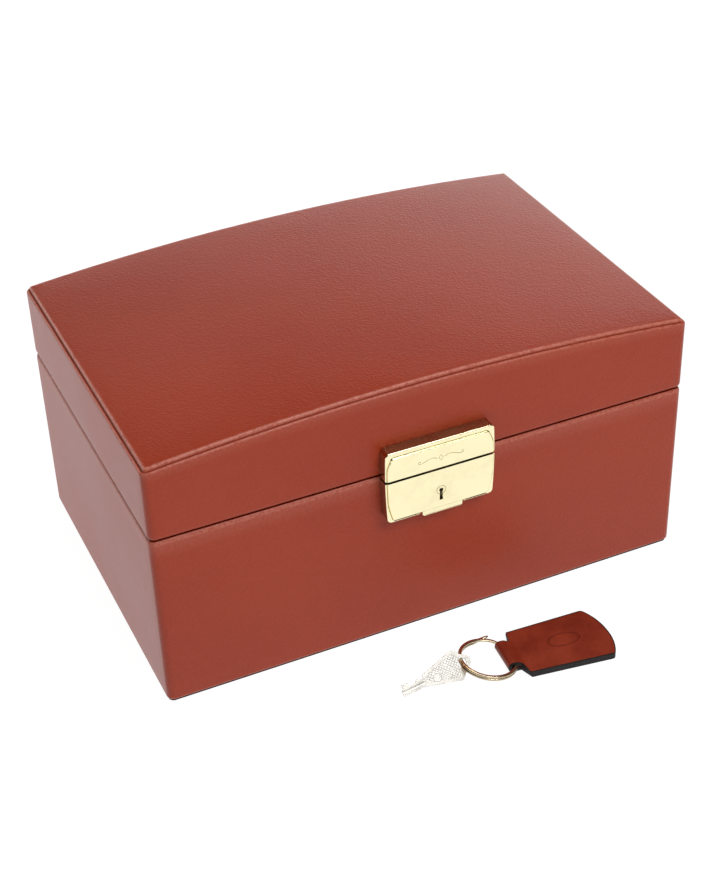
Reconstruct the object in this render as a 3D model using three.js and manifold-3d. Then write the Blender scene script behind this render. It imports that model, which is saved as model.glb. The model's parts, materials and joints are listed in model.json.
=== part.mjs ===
// A leather-covered jewellery case with a barrel-arched lid, a brass box lock, a lift-out tray
// and its own key on a split ring with a leather fob.
// Millimetres. The origin is the centre of the underside, +Z is up and -Y is the front with the lock.
import * as THREE from 'three';
import { mergeVertices } from 'three/addons/utils/BufferGeometryUtils.js';
import Module from 'manifold-3d';

const wasm = await Module();
wasm.setup();

// Driving dimensions of the case
const WIDTH = 260;
const DEPTH = 171.5;
const PARTING = 89.7;          // height of the line between base and lid
const LID_CORNER_TOP = 124.8;  // height of the lid walls at the corners
const ARCH_RISE = 6.9;         // how much higher the lid is in the middle
const CORNER_R = 3.4;
const LEATHER = 1.2;
const BOARD = 6;
const FIT = 0.15;              // glue line between pieces that lie against each other
const MOUTH = 0.3;             // half of the gap between base and lid
const TURN_IN = 0.6;           // leather turned over the boards' edges at the mouth

// Underside, floor and linings
const UNDERSIDE = 0.9;
const FLOOR = 4;
const LINING = 1.2;
const FLOOR_PAD = 4;

// Lid top
const GROOVE_INSET = 1.8;
const PANEL_STAND = 0.7;       // the padded panel stands this much above the walls
const PANEL = 2;
const TOP_BOARD = 4;
const CEILING_Z = 116.8;

// Tray
const TRAY_BOTTOM = 54;
const TRAY_TOP = 86.5;
const TRAY_PLAY = 0.45;
const TRAY_WALL = 4;
const TRAY_FLOOR = 3;
const RING_ROLLS = 6;
const REST_STRIP = 6;
const LOWER_DIVIDER = 4;
const DIVIDER = 3;
const RING_BANK_BACK = 4;      // the ring bank reaches this far behind the middle
const RIGHT_DIVIDER_Y = -22;
const MIRROR_HALF = [85, 52, 5]; // half sizes and corner radius
const MIRROR = 2;

// Hinges
const HINGE_X = 80;
const HINGE_LENGTH = 34;
const KNUCKLE_R = 2.1;
const LEAF = 1.2;
const PIN_R = 0.9;
const PIN_HOLE_R = 0.98;
const HINGE_SCREW_X = 11;
const HINGE_DRILL_R = 1.3;
const HINGE_SINK_R = 2.25;     // countersink for the screw heads
const HINGE_HEAD = [2, 0.6];   // radius and height of a screw head
const HINGE_SHANK = [1, 9];    // radius and depth of its shank

// Lock: depths are counted outwards from the leather of the front wall
const LOCK_X = 1.8;
const LOCK_HALF = 25.85;       // half width at the corners
const LOCK_BULGE = 0.85;       // the sides swell by this much at the parting line
const LOCK_BOTTOM = 67.7;
const LOCK_TOP = 104.5;
const LOCK_STAND = 6.3;
const SHELL = 1.1;
const KEYHOLE_Z = 78.1;
const KEYHOLE_R = 1.15;
const KEYHOLE_SLOT = 0.85;         // half width of the slot under the keyhole's round top
const KEYHOLE_DROP = 5.2;
const BOLT_LAYER = [1.1, 1.9];
const STRIKER_LAYER = [2.2, 3.4];
const SLIDER_LAYER = [3.7, 4.7];
const CAM_R = 5.4;
const DRIVE_R = 2.4;
const NOSE_Z = [84.7, 86.5];
const LOCK_SCREW_X = 21.5;
const LOCK_SCREW_Z = 79;
const HASP_SCREW_Z = 97.3;
const SPRING_Z = 73.4;
const SPRING_DEPTH = 4;
const TAB_X = [-8.8, 11.3];
const TAB_BOTTOM = 65.4;
const TAB_TRAVEL = 1.3;
const TAB_LIP = 1.05;          // the tab's lip lies in a notch of the case, this high over its edge

// Key set on the table in front of the case
const RING_R = 13;
const RING_CENTRE = [7.3, -127.3, 4.57];
const RING_NORMAL = [0.173, -0.02, 1];
const RING_STACK = 2;           // height of the two coils together
const RING_WIRE = 1.35;
const FOB_ORIGIN = [21.6, -128, 0];
const FOB_TURN = -5.3;
const FOB_THICK = 3.2;
const FOB_LOOP = 5.4;          // height of the fold round the ring
const FOB_FOLD = -7.4;         // where the fold ends, along the fob
const FOB_NECK = [-7.8, 8.2];
const FOB_WALL = 0.95;
const KEY_ORIGIN = [-24.05, -126.1, 3.6];
const KEY_YAW = 6.9;
const KEY_PITCH = 4;
const KEY_LEAN = 50;
const KEY_THICK = 1.1;
const KEY_HOLE = [19, 0, 2.1];  // place along and across the bow, and radius

// Worked out from the above
const HALF_W = WIDTH / 2;
const HALF_D = DEPTH / 2;
const BASE_TOP = PARTING - MOUTH;
const LID_BOTTOM = PARTING + MOUTH;
const BASE_BOARD_TOP = BASE_TOP - TURN_IN;
const LID_BOARD_BOTTOM = LID_BOTTOM + TURN_IN;
const BOARD_Z = UNDERSIDE + FIT;
const BOARD_OUT = LEATHER;
const BOARD_IN = LEATHER + BOARD;
const LINING_OUT = BOARD_IN + FIT;
const LINING_IN = LINING_OUT + LINING;
const INNER_X = HALF_W - LINING_IN;
const INNER_Y = HALF_D - LINING_IN;
const PAD_Z = BOARD_Z + FLOOR + FIT;
const BARREL_Y = HALF_D + KNUCKLE_R + 0.35;
const HINGE_SCREW_Y = HALF_D - LEATHER - BOARD / 2 + 0.4;
const TRAY_X = INNER_X - TRAY_PLAY;
const TRAY_Y = INNER_Y - TRAY_PLAY;

const colours = {
  leather: { color: 0x96442f, roughness: 0.45, metalness: 0 },
  wood: { color: 0xb08a5a, roughness: 0.8, metalness: 0 },
  underside: { color: 0x2a1712, roughness: 0.8, metalness: 0 },
  suede: { color: 0x6b4a35, roughness: 0.95, metalness: 0 },
  brass: { color: 0xe3c27a, roughness: 0.2, metalness: 1 },
  steel: { color: 0x9a9a98, roughness: 0.35, metalness: 1 },
  mirror: { color: 0xdfe5e8, roughness: 0.03, metalness: 1 },
  nickel: { color: 0xd9d8d2, roughness: 0.3, metalness: 1 },
  ring: { color: 0xa8936a, roughness: 0.3, metalness: 1 },
  fob: { color: 0x7d2a1a, roughness: 0.5, metalness: 0 },
};

const caseGroup = new THREE.Group();

// --- solids and booleans -------------------------------------------------------------------

function toSolid(geometry) {
  const plain = geometry.clone();
  plain.deleteAttribute('normal');
  plain.deleteAttribute('uv');
  const merged = mergeVertices(plain, 1e-4);
  return new wasm.Manifold(new wasm.Mesh({
    numProp: 3,
    vertProperties: new Float32Array(merged.attributes.position.array),
    triVerts: new Uint32Array(merged.index.array),
  }));
}

function toGeometry(solid) {
  const mesh = solid.getMesh();
  const geometry = new THREE.BufferGeometry();
  geometry.setAttribute('position', new THREE.BufferAttribute(new Float32Array(mesh.vertProperties), 3));
  geometry.setIndex(new THREE.BufferAttribute(new Uint32Array(mesh.triVerts), 1));
  geometry.computeVertexNormals();
  return geometry;
}

function join(first, ...rest) {
  return toGeometry(rest.reduce((solid, g) => solid.add(toSolid(g)), toSolid(first)));
}

function cut(body, ...tools) {
  return toGeometry(tools.reduce((solid, g) => solid.subtract(toSolid(g)), toSolid(body)));
}

function common(first, second) {
  return toGeometry(toSolid(first).intersect(toSolid(second)));
}

function box(x0, x1, y0, y1, z0, z1) {
  const geometry = new THREE.BoxGeometry(x1 - x0, y1 - y0, z1 - z0);
  return geometry.translate((x0 + x1) / 2, (y0 + y1) / 2, (z0 + z1) / 2);
}

function roundedRect(halfX, halfY, r) {
  const shape = new THREE.Shape();
  shape.moveTo(-halfX + r, -halfY);
  shape.lineTo(halfX - r, -halfY);
  shape.absarc(halfX - r, -halfY + r, r, -Math.PI / 2, 0);
  shape.lineTo(halfX, halfY - r);
  shape.absarc(halfX - r, halfY - r, r, 0, Math.PI / 2);
  shape.lineTo(-halfX + r, halfY);
  shape.absarc(-halfX + r, halfY - r, r, Math.PI / 2, Math.PI);
  shape.lineTo(-halfX, -halfY + r);
  shape.absarc(-halfX + r, -halfY + r, r, Math.PI, Math.PI * 1.5);
  return shape;
}

// A flat outline in X and Y raised from z0 to z1
function slab(shape, z0, z1, curveSegments = 5) {
  const geometry = new THREE.ExtrudeGeometry(shape, { depth: z1 - z0, bevelEnabled: false, curveSegments });
  return geometry.translate(0, 0, z0);
}

// A ring-shaped skin that follows the case's walls between two insets
function skin(insetOut, insetIn, z0, z1, rOut, rIn) {
  const shape = roundedRect(HALF_W - insetOut, HALF_D - insetOut, rOut);
  shape.holes.push(roundedRect(HALF_W - insetIn, HALF_D - insetIn, rIn));
  return slab(shape, z0, z1);
}

// An outline in X and Z that stands on the front wall, between two depths
function frontPlate(shape, near, far, curveSegments = 6) {
  const geometry = slab(shape, near, far, curveSegments);
  return geometry.rotateX(Math.PI / 2).translate(LOCK_X, -HALF_D, 0);
}

function frontBox(x0, x1, near, far, z0, z1) {
  return box(LOCK_X + x0, LOCK_X + x1, -HALF_D - far, -HALF_D - near, z0, z1);
}

// A round bar along Y in the lock, from one depth to another
function frontRod(x, z, r, near, far, sides = 20) {
  const geometry = new THREE.CylinderGeometry(r, r, far - near, sides);
  return geometry.translate(LOCK_X + x, -HALF_D - (near + far) / 2, z);
}

function rodX(x0, x1, y, z, r, sides) {
  const geometry = new THREE.CylinderGeometry(r, r, x1 - x0, sides).rotateZ(Math.PI / 2);
  return geometry.translate((x0 + x1) / 2, y, z);
}

function rodZ(x, y, z0, z1, r, sides = 16) {
  const geometry = new THREE.CylinderGeometry(r, r, z1 - z0, sides).rotateX(Math.PI / 2);
  return geometry.translate(x, y, (z0 + z1) / 2);
}

function add(name, geometry, finish) {
  const mesh = new THREE.Mesh(geometry, new THREE.MeshStandardMaterial(colours[finish]));
  mesh.name = name;
  caseGroup.add(mesh);
  return mesh;
}

// --- the lid's arch ------------------------------------------------------------------------

const ARCH_R = (HALF_W * HALF_W + ARCH_RISE * ARCH_RISE) / (2 * ARCH_RISE);

function archZ(x) {
  return LID_CORNER_TOP + ARCH_RISE - ARCH_R + Math.sqrt(ARCH_R * ARCH_R - x * x);
}

// Everything between z = 0 and the arch, which is lifted or lowered by offset
function underArch(offset) {
  const reach = HALF_W + 2;
  const steps = 26;
  const shape = new THREE.Shape();
  shape.moveTo(-reach, 0);
  shape.lineTo(reach, 0);
  for (let i = steps; i >= 0; i--) {
    const x = -reach + (2 * reach * i) / steps;
    shape.lineTo(x, archZ(x) + offset);
  }
  const geometry = new THREE.ExtrudeGeometry(shape, { depth: DEPTH + 20, bevelEnabled: false });
  return geometry.rotateX(Math.PI / 2).translate(0, HALF_D + 10, 0);
}

// --- hinges --------------------------------------------------------------------------------

const hingeSides = [['left', -1], ['right', 1]];

function leafPocket(x, z0, z1) {
  const half = HINGE_LENGTH / 2 + FIT;
  return box(x - half, x + half, HALF_D - BOARD_IN + 0.8, HALF_D + 1, z0, z1);
}

function screwDrillings(z0, z1) {
  return hingeSides.flatMap(([, side]) => [-1, 1].map(
    (end) => rodZ(side * HINGE_X + end * HINGE_SCREW_X, HINGE_SCREW_Y, z0, z1, HINGE_DRILL_R)));
}

function hingeLeaf(centre, plateZ, headZ, ownKnuckles, otherKnuckles) {
  const half = HINGE_LENGTH / 2;
  const yIn = HALF_D - BOARD_IN + 1;
  let leaf = toSolid(box(centre - half, centre + half, yIn, BARREL_Y, plateZ, plateZ + LEAF));
  for (const [x0, x1] of otherKnuckles) {
    const clearance = box(centre + x0 - 0.15, centre + x1 + 0.15, HALF_D + 0.15, BARREL_Y + 4, 80, 100);
    leaf = leaf.subtract(toSolid(clearance));
  }
  for (const [x0, x1] of ownKnuckles) {
    leaf = leaf.add(toSolid(rodX(centre + x0, centre + x1, BARREL_Y, PARTING, KNUCKLE_R, 24)));
  }
  const pinHole = rodX(centre - half - 1, centre + half + 1, BARREL_Y, PARTING, PIN_HOLE_R, 20);
  leaf = leaf.subtract(toSolid(pinHole));
  for (const end of [-1, 1]) {
    const x = centre + end * HINGE_SCREW_X;
    const drill = rodZ(x, HINGE_SCREW_Y, plateZ - 1, plateZ + LEAF + 1, HINGE_DRILL_R);
    const sink = rodZ(x, HINGE_SCREW_Y, headZ - 0.7, headZ + 0.7, HINGE_SINK_R);
    leaf = leaf.subtract(toSolid(drill)).subtract(toSolid(sink));
  }
  return toGeometry(leaf);
}

// A countersunk screw whose head is flush with headFace; inward is +1 or -1 along Z
function hingeScrew(x, headFace, inward) {
  const bar = (from, to, r) => {
    const ends = [headFace + inward * from, headFace + inward * to].sort((a, b) => a - b);
    return rodZ(x, HINGE_SCREW_Y, ...ends, r);
  };
  const [headR, headHeight] = HINGE_HEAD;
  const [shankR, shankDepth] = HINGE_SHANK;
  return join(bar(0.05, headHeight, headR), bar(headHeight / 2, shankDepth, shankR));
}

function addHinges() {
  const half = HINGE_LENGTH / 2;
  const outer = [[-half, -half / 3 - 0.15], [half / 3 + 0.15, half]];
  const inner = [[-half / 3 + 0.15, half / 3 - 0.15]];
  for (const [label, side] of hingeSides) {
    const x = side * HINGE_X;
    add(`hinge_base_leaf_${label}`, hingeLeaf(x, BASE_TOP - LEAF, BASE_TOP, outer, inner), 'brass');
    add(`hinge_lid_leaf_${label}`, hingeLeaf(x, LID_BOTTOM, LID_BOTTOM, inner, outer), 'brass');
    add(`hinge_pin_${label}`, rodX(x - half - 0.3, x + half + 0.3, BARREL_Y, PARTING, PIN_R, 16), 'steel');
    [-1, 1].forEach((end, i) => {
      const screwX = x + end * HINGE_SCREW_X;
      add(`hinge_base_screw_${label}_${i + 1}`, hingeScrew(screwX, BASE_TOP, -1), 'brass');
      add(`hinge_lid_screw_${label}_${i + 1}`, hingeScrew(screwX, LID_BOTTOM, 1), 'brass');
    });
  }
}

// --- base ----------------------------------------------------------------------------------

const lockScrews = [['left', -LOCK_SCREW_X], ['right', LOCK_SCREW_X]];

// The clearance drillings of the lock's or the hasp's screws through the front wall
function frontDrillings(z) {
  return lockScrews.flatMap(([, x]) => [
    frontRod(x, z, 1.3, -BOARD_IN - 1, 1),
    frontRod(x, z, 2.5, -BOARD_IN - 1, -BOARD_IN + 1.4),
  ]);
}

function sideBoard(side, z0, z1) {
  const out = HALF_W - BOARD_OUT - FIT;
  const inn = HALF_W - BOARD_IN;
  const y = HALF_D - BOARD_IN - FIT;
  return side < 0 ? box(-out, -inn, -y, y, z0, z1) : box(inn, out, -y, y, z0, z1);
}

function endBoard(side, z0, z1) {
  const x = HALF_W - BOARD_OUT - FIT;
  const out = HALF_D - BOARD_OUT - FIT;
  const inn = HALF_D - BOARD_IN;
  return side < 0 ? box(-x, x, -out, -inn, z0, z1) : box(-x, x, inn, out, z0, z1);
}

function addBase() {
  const pocketZ = BASE_TOP - LEAF - FIT;
  const pockets = hingeSides.map(([, side]) => leafPocket(side * HINGE_X, pocketZ, BASE_TOP + 1));
  const plan = roundedRect(HALF_W - LEATHER - FIT, HALF_D - LEATHER - FIT, CORNER_R - LEATHER);
  add('underside_sheet', slab(plan, 0, UNDERSIDE), 'underside');
  const wrap = skin(0, LEATHER, BOARD_Z, BASE_TOP, CORNER_R, 0.4);
  add('base_leather', cut(wrap, ...pockets, ...frontDrillings(LOCK_SCREW_Z)), 'leather');
  const frontBoard = endBoard(-1, BOARD_Z, BASE_BOARD_TOP);
  add('base_front_board', cut(frontBoard, ...frontDrillings(LOCK_SCREW_Z)), 'wood');
  const backBoard = endBoard(1, BOARD_Z, BASE_BOARD_TOP);
  add('base_back_board', cut(backBoard, ...pockets, ...screwDrillings(BASE_TOP - 10, BASE_TOP)), 'wood');
  add('base_left_board', sideBoard(-1, BOARD_Z, BASE_BOARD_TOP), 'wood');
  add('base_right_board', sideBoard(1, BOARD_Z, BASE_BOARD_TOP), 'wood');
  const inX = HALF_W - BOARD_IN - FIT;
  const inY = HALF_D - BOARD_IN - FIT;
  add('base_floor_board', box(-inX, inX, -inY, inY, BOARD_Z, BOARD_Z + FLOOR), 'wood');
  add('base_lining', skin(LINING_OUT, LINING_IN, PAD_Z, BASE_BOARD_TOP, 0.5, 0.3), 'suede');
  const padX = INNER_X - FIT;
  const padY = INNER_Y - FIT;
  add('base_floor_pad', box(-padX, padX, -padY, padY, PAD_Z, PAD_Z + FLOOR_PAD), 'suede');
  const standZ = PAD_Z + FLOOR_PAD + FIT;
  const restTop = TRAY_BOTTOM - FIT;
  add('tray_rest_left', box(-padX, -padX + REST_STRIP, -padY, padY, standZ, restTop), 'suede');
  add('tray_rest_right', box(padX - REST_STRIP, padX, -padY, padY, standZ, restTop), 'suede');
  const halfDivider = LOWER_DIVIDER / 2;
  add('lower_divider', box(-halfDivider, halfDivider, -padY, padY, standZ, restTop - 4), 'suede');
}

// --- lid -----------------------------------------------------------------------------------

function addLid() {
  const pocketZ = LID_BOTTOM + LEAF + FIT;
  const pockets = hingeSides.map(([, side]) => leafPocket(side * HINGE_X, LID_BOTTOM - 1, pocketZ));
  const high = LID_CORNER_TOP + 20;
  const boardTop = PANEL_STAND - PANEL - FIT;
  const boardArch = underArch(boardTop);
  const wrap = common(skin(0, LEATHER, LID_BOTTOM, high, CORNER_R, 0.4), underArch(0));
  add('lid_leather', cut(wrap, ...pockets, ...frontDrillings(HASP_SCREW_Z)), 'leather');
  const front = common(endBoard(-1, LID_BOARD_BOTTOM, high), boardArch);
  add('lid_front_board', cut(front, ...frontDrillings(HASP_SCREW_Z)), 'wood');
  const back = common(endBoard(1, LID_BOARD_BOTTOM, high), boardArch);
  add('lid_back_board', cut(back, ...pockets, ...screwDrillings(LID_BOTTOM, LID_BOTTOM + 10)), 'wood');
  add('lid_left_board', common(sideBoard(-1, LID_BOARD_BOTTOM, high), boardArch), 'wood');
  add('lid_right_board', common(sideBoard(1, LID_BOARD_BOTTOM, high), boardArch), 'wood');
  const inX = HALF_W - BOARD_IN - FIT;
  const inY = HALF_D - BOARD_IN - FIT;
  const core = box(-inX, inX, -inY, inY, LID_CORNER_TOP - 30, high);
  const underBoard = boardTop - TOP_BOARD;
  add('lid_top_board', cut(common(core, boardArch), underArch(underBoard)), 'wood');
  const panelPlan = roundedRect(HALF_W - GROOVE_INSET, HALF_D - GROOVE_INSET, CORNER_R - 1.2);
  const panel = common(slab(panelPlan, LID_CORNER_TOP - 10, high), underArch(PANEL_STAND));
  add('lid_panel', cut(panel, underArch(PANEL_STAND - PANEL)), 'leather');
  add('lid_lining', skin(LINING_OUT, LINING_IN, LID_BOARD_BOTTOM, CEILING_Z, 0.5, 0.3), 'suede');
  const padX = inX - 0.1;
  const padY = inY - 0.1;
  const ceiling = box(-padX, padX, -padY, padY, CEILING_Z + FIT, high);
  add('lid_ceiling_pad', common(ceiling, underArch(underBoard - FIT)), 'suede');
  add('mirror', slab(roundedRect(...MIRROR_HALF), CEILING_Z - MIRROR, CEILING_Z), 'mirror');
}

// --- lift-out tray -------------------------------------------------------------------------

// A bank of half-round rolls that grip rings between them
function ringBank(x0, x1, y0, y1, z0) {
  const pitch = (y1 - y0) / RING_ROLLS;
  const r = pitch / 2 - 0.3;
  const crown = 7;
  const shape = new THREE.Shape();
  shape.moveTo(y1, z0);
  shape.lineTo(y0, z0);
  for (let i = 0; i < RING_ROLLS; i++) {
    const centre = y0 + pitch * (i + 0.5);
    shape.lineTo(centre - pitch / 2, z0 + crown);
    for (let k = 0; k <= 8; k++) {
      const angle = Math.PI - (Math.PI * k) / 8;
      shape.lineTo(centre + r * Math.cos(angle), z0 + crown + 4 + r * 1.3 * Math.sin(angle));
    }
    shape.lineTo(centre + pitch / 2, z0 + crown);
  }
  const geometry = new THREE.ExtrudeGeometry(shape, { depth: x1 - x0, bevelEnabled: false });
  geometry.rotateX(Math.PI / 2).rotateZ(Math.PI / 2);
  return geometry.translate(x0, 0, 0);
}

function addTray() {
  const floorTop = TRAY_BOTTOM + TRAY_FLOOR;
  const wallZ = floorTop + FIT;
  const inX = TRAY_X - TRAY_WALL;
  const inY = TRAY_Y - TRAY_WALL;
  const dividerTop = TRAY_TOP - 3;
  add('tray_floor', box(-TRAY_X, TRAY_X, -TRAY_Y, TRAY_Y, TRAY_BOTTOM, floorTop), 'suede');
  add('tray_front_wall', box(-TRAY_X, TRAY_X, -TRAY_Y, -inY, wallZ, TRAY_TOP), 'leather');
  add('tray_back_wall', box(-TRAY_X, TRAY_X, inY, TRAY_Y, wallZ, TRAY_TOP), 'leather');
  add('tray_left_wall', box(-TRAY_X, -inX, -inY + FIT, inY - FIT, wallZ, TRAY_TOP), 'leather');
  add('tray_right_wall', box(inX, TRAY_X, -inY + FIT, inY - FIT, wallZ, TRAY_TOP), 'leather');
  const half = DIVIDER / 2;
  add('tray_divider_long', box(-half, half, -inY + FIT, inY - FIT, wallZ, dividerTop), 'leather');
  const left = [-inX + FIT, -half - FIT];
  const right = [half + FIT, inX - FIT];
  const leftY = [RING_BANK_BACK, RING_BANK_BACK + DIVIDER];
  const rightY = [RIGHT_DIVIDER_Y, RIGHT_DIVIDER_Y + DIVIDER];
  add('tray_divider_left', box(...left, ...leftY, wallZ, dividerTop), 'leather');
  add('tray_divider_right', box(...right, ...rightY, wallZ, dividerTop), 'leather');
  const bank = ringBank(...left, -inY + FIT, RING_BANK_BACK - FIT, wallZ);
  add('tray_ring_bank', bank, 'suede');
}

// --- lock ----------------------------------------------------------------------------------

// Half width of the lock's outline at a height: its sides swell towards the parting line
function lockHalfAt(z) {
  const middle = PARTING;
  const reach = Math.max(LOCK_TOP - middle, middle - LOCK_BOTTOM);
  const t = (z - middle) / reach;
  return LOCK_HALF + LOCK_BULGE * (1 - t * t);
}

function lockOutline(z0, z1, r0, r1) {
  const shape = new THREE.Shape();
  const steps = 5;
  const sideZ = (i) => z0 + r0 + ((z1 - r1 - z0 - r0) * i) / steps;
  shape.moveTo(-lockHalfAt(z0) + r0, z0);
  shape.lineTo(lockHalfAt(z0) - r0, z0);
  for (let i = 0; i <= steps; i++) shape.lineTo(lockHalfAt(sideZ(i)), sideZ(i));
  shape.lineTo(lockHalfAt(z1) - r1, z1);
  shape.lineTo(-lockHalfAt(z1) + r1, z1);
  for (let i = steps; i >= 0; i--) shape.lineTo(-lockHalfAt(sideZ(i)), sideZ(i));
  return shape;
}

function keyhole() {
  const shape = new THREE.Shape();
  const turn = Math.acos(KEYHOLE_SLOT / KEYHOLE_R);
  shape.moveTo(-KEYHOLE_SLOT, KEYHOLE_Z - KEYHOLE_DROP);
  shape.lineTo(KEYHOLE_SLOT, KEYHOLE_Z - KEYHOLE_DROP);
  shape.absarc(0, KEYHOLE_Z, KEYHOLE_R, -turn, Math.PI + turn);
  return shape;
}

function shellWithBosses(z0, z1, r0, r1, screwZ) {
  const faceIn = LOCK_STAND - SHELL;
  const half = LOCK_HALF - SHELL - 0.1;
  let shell = toSolid(frontPlate(lockOutline(z0, z1, r0, r1), 0.2, LOCK_STAND));
  shell = shell.subtract(toSolid(frontBox(-half, half, -1, faceIn, z0 + SHELL, z1 - SHELL)));
  for (const [, x] of lockScrews) {
    shell = shell.add(toSolid(frontRod(x, screwZ, 2, 1, faceIn + 0.3)));
    shell = shell.subtract(toSolid(frontRod(x, screwZ, 1.15, 0, 4.6)));
  }
  return shell;
}

function addLockCase() {
  const [near, far] = STRIKER_LAYER;
  let shell = shellWithBosses(LOCK_BOTTOM, BASE_TOP, 2, 0.3, LOCK_SCREW_Z);
  const strikerSlot = frontBox(-9.4, 9.4, near - 0.35, far + 0.25, BASE_TOP - 2, BASE_TOP + 1);
  const [tabLeft, tabRight] = TAB_X;
  const notch = [tabLeft - TAB_TRAVEL - FIT, tabRight + FIT];
  const tabSlot = frontBox(...notch, 1.4, 5, LOCK_BOTTOM - 1, LOCK_BOTTOM + 2);
  const lipNotch = frontBox(...notch, 4, LOCK_STAND + 1, LOCK_BOTTOM - 1, LOCK_BOTTOM + TAB_LIP);
  shell = shell.subtract(toSolid(strikerSlot));
  shell = shell.subtract(toSolid(tabSlot)).subtract(toSolid(lipNotch));
  shell = shell.subtract(toSolid(frontPlate(keyhole(), 4, LOCK_STAND + 1)));
  add('lock_case', toGeometry(shell), 'brass');
  const back = frontBox(-24, 24, 0.25, 0.75, LOCK_BOTTOM + SHELL + 0.2, BASE_TOP - SHELL - 0.2);
  add('lock_back_plate', cut(back, ...frontDrillings(LOCK_SCREW_Z)), 'brass');
}

function addHasp() {
  const [near, far] = STRIKER_LAYER;
  const shell = shellWithBosses(LID_BOTTOM, LOCK_TOP, 0.3, 2, HASP_SCREW_Z);
  const slot = frontBox(-9.4, 9.4, near - 0.2, far + 0.2, LID_BOTTOM - 1, LID_BOTTOM + 2);
  add('hasp_plate', toGeometry(shell.subtract(toSolid(slot))), 'brass');
  const tongue = frontBox(-9, 9, near, far, CAM_R + KEYHOLE_Z + 0.3, LID_BOTTOM + 3);
  const foot = frontBox(-24, 24, near, far, LID_BOTTOM + SHELL + 0.6, LOCK_TOP - SHELL - 0.3);
  const [noseLow, noseHigh] = NOSE_Z;
  const notches = [-1, 1].map((side) => frontBox(
    Math.min(side * 5.6, side * 10), Math.max(side * 5.6, side * 10), near - 1, far + 1,
    noseLow - 0.3, noseHigh + 0.3));
  const holes = lockScrews.map(([, x]) => frontRod(x, HASP_SCREW_Z, 2.3, near - 1, far + 1));
  add('striker', cut(join(tongue, foot), ...notches, ...holes), 'steel');
}

// The thumb tab's outline, with its lower corners rounded
function tabOutline(top) {
  const [left, right] = TAB_X;
  const r = 1.6;
  const shape = new THREE.Shape();
  shape.moveTo(left, top);
  shape.lineTo(left, TAB_BOTTOM + r);
  shape.absarc(left + r, TAB_BOTTOM + r, r, Math.PI, Math.PI * 1.5);
  shape.lineTo(right - r, TAB_BOTTOM);
  shape.absarc(right - r, TAB_BOTTOM + r, r, -Math.PI / 2, 0);
  shape.lineTo(right, top);
  return shape;
}

function addReleaseSlider() {
  const [near, far] = SLIDER_LAYER;
  const [noseLow, noseHigh] = NOSE_Z;
  const plate = frontBox(-16, 16, near, far, LOCK_BOTTOM + 1.4, noseHigh + 0.1);
  const hubWindow = frontBox(-3.4, 5.9, near - 1, far + 1, KEYHOLE_Z - 5.2, KEYHOLE_Z + 3.3);
  const nose = frontBox(-12.3, -9.3, STRIKER_LAYER[0], near + 0.5, noseLow, noseHigh);
  const inside = frontPlate(tabOutline(LOCK_BOTTOM + 2), 1.8, 4.6);
  const lip = frontPlate(tabOutline(LOCK_BOTTOM + TAB_LIP - FIT), 4.4, LOCK_STAND - 0.2);
  add('release_slider', join(cut(plate, hubWindow), nose, inside, lip), 'brass');
}

// A compression spring between the lock case's left wall and the slider
function addSliderSpring() {
  const turns = 5;
  const steps = 55;
  const coilR = 1;
  const [x0, x1] = [-24.1, -16.3];
  const points = [];
  for (let i = 0; i <= steps; i++) {
    const t = i / steps;
    const angle = t * turns * Math.PI * 2;
    const x = LOCK_X + x0 + 0.3 + (x1 - x0 - 0.6) * t;
    const y = -HALF_D - SPRING_DEPTH + coilR * Math.cos(angle);
    points.push(new THREE.Vector3(x, y, SPRING_Z + coilR * Math.sin(angle)));
  }
  const wire = new THREE.Shape();
  wire.absarc(0, 0, 0.22, 0, Math.PI * 2);
  const path = new THREE.CatmullRomCurve3(points);
  const geometry = new THREE.ExtrudeGeometry(wire, { steps: 70, extrudePath: path, curveSegments: 3 });
  add('slider_spring', geometry, 'steel');
}

// The key turns this cam a quarter turn, and its drive pin moves the locking bolt sideways
function addKeyCam() {
  const [near, far] = STRIKER_LAYER;
  const disc = frontRod(0, KEYHOLE_Z, CAM_R, near, far, 36);
  const hub = frontRod(0, KEYHOLE_Z, 2.9, far - 0.2, LOCK_STAND - SHELL - 0.2, 28);
  const offset = DRIVE_R * Math.SQRT1_2;
  const pin = frontRod(offset, KEYHOLE_Z + offset, 0.5, BOLT_LAYER[0] - 0.1, near + 0.2, 12);
  const keySlot = frontBox(-0.65, 0.65, -1, LOCK_STAND, KEYHOLE_Z - 4.6, KEYHOLE_Z + 0.9);
  add('key_cam', cut(join(disc, hub, pin), keySlot), 'steel');
}

function addLockBolt() {
  const [near, far] = BOLT_LAYER;
  const [noseLow, noseHigh] = NOSE_Z;
  const offset = DRIVE_R * Math.SQRT1_2;
  const slack = 0.75;
  const foot = frontBox(offset - 2, 12.5, near, far, KEYHOLE_Z - 0.6, KEYHOLE_Z + 4.4);
  const arm = frontBox(9.5, 12.5, near, far, KEYHOLE_Z + 3, noseHigh);
  const nose = frontBox(9.5, 12.5, far - 0.2, STRIKER_LAYER[1], noseLow, noseHigh);
  const driveSlot = frontBox(offset - slack, offset + slack, near - 1, far + 1,
    KEYHOLE_Z + offset - slack, KEYHOLE_Z + DRIVE_R + slack);
  add('lock_bolt', cut(join(foot, arm, nose), driveSlot), 'steel');
}

function addLockScrews() {
  const sets = [['lock', LOCK_SCREW_Z], ['hasp', HASP_SCREW_Z]];
  for (const [set, z] of sets) {
    for (const [label, x] of lockScrews) {
      const head = frontRod(x, z, 2.2, -BOARD_IN + 0.1, -BOARD_IN + 1.1);
      const shank = frontRod(x, z, 0.9, -BOARD_IN + 1, 4.2, 14);
      add(`${set}_screw_${label}`, join(head, shank), 'steel');
    }
  }
}

// --- key set -------------------------------------------------------------------------------

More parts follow.
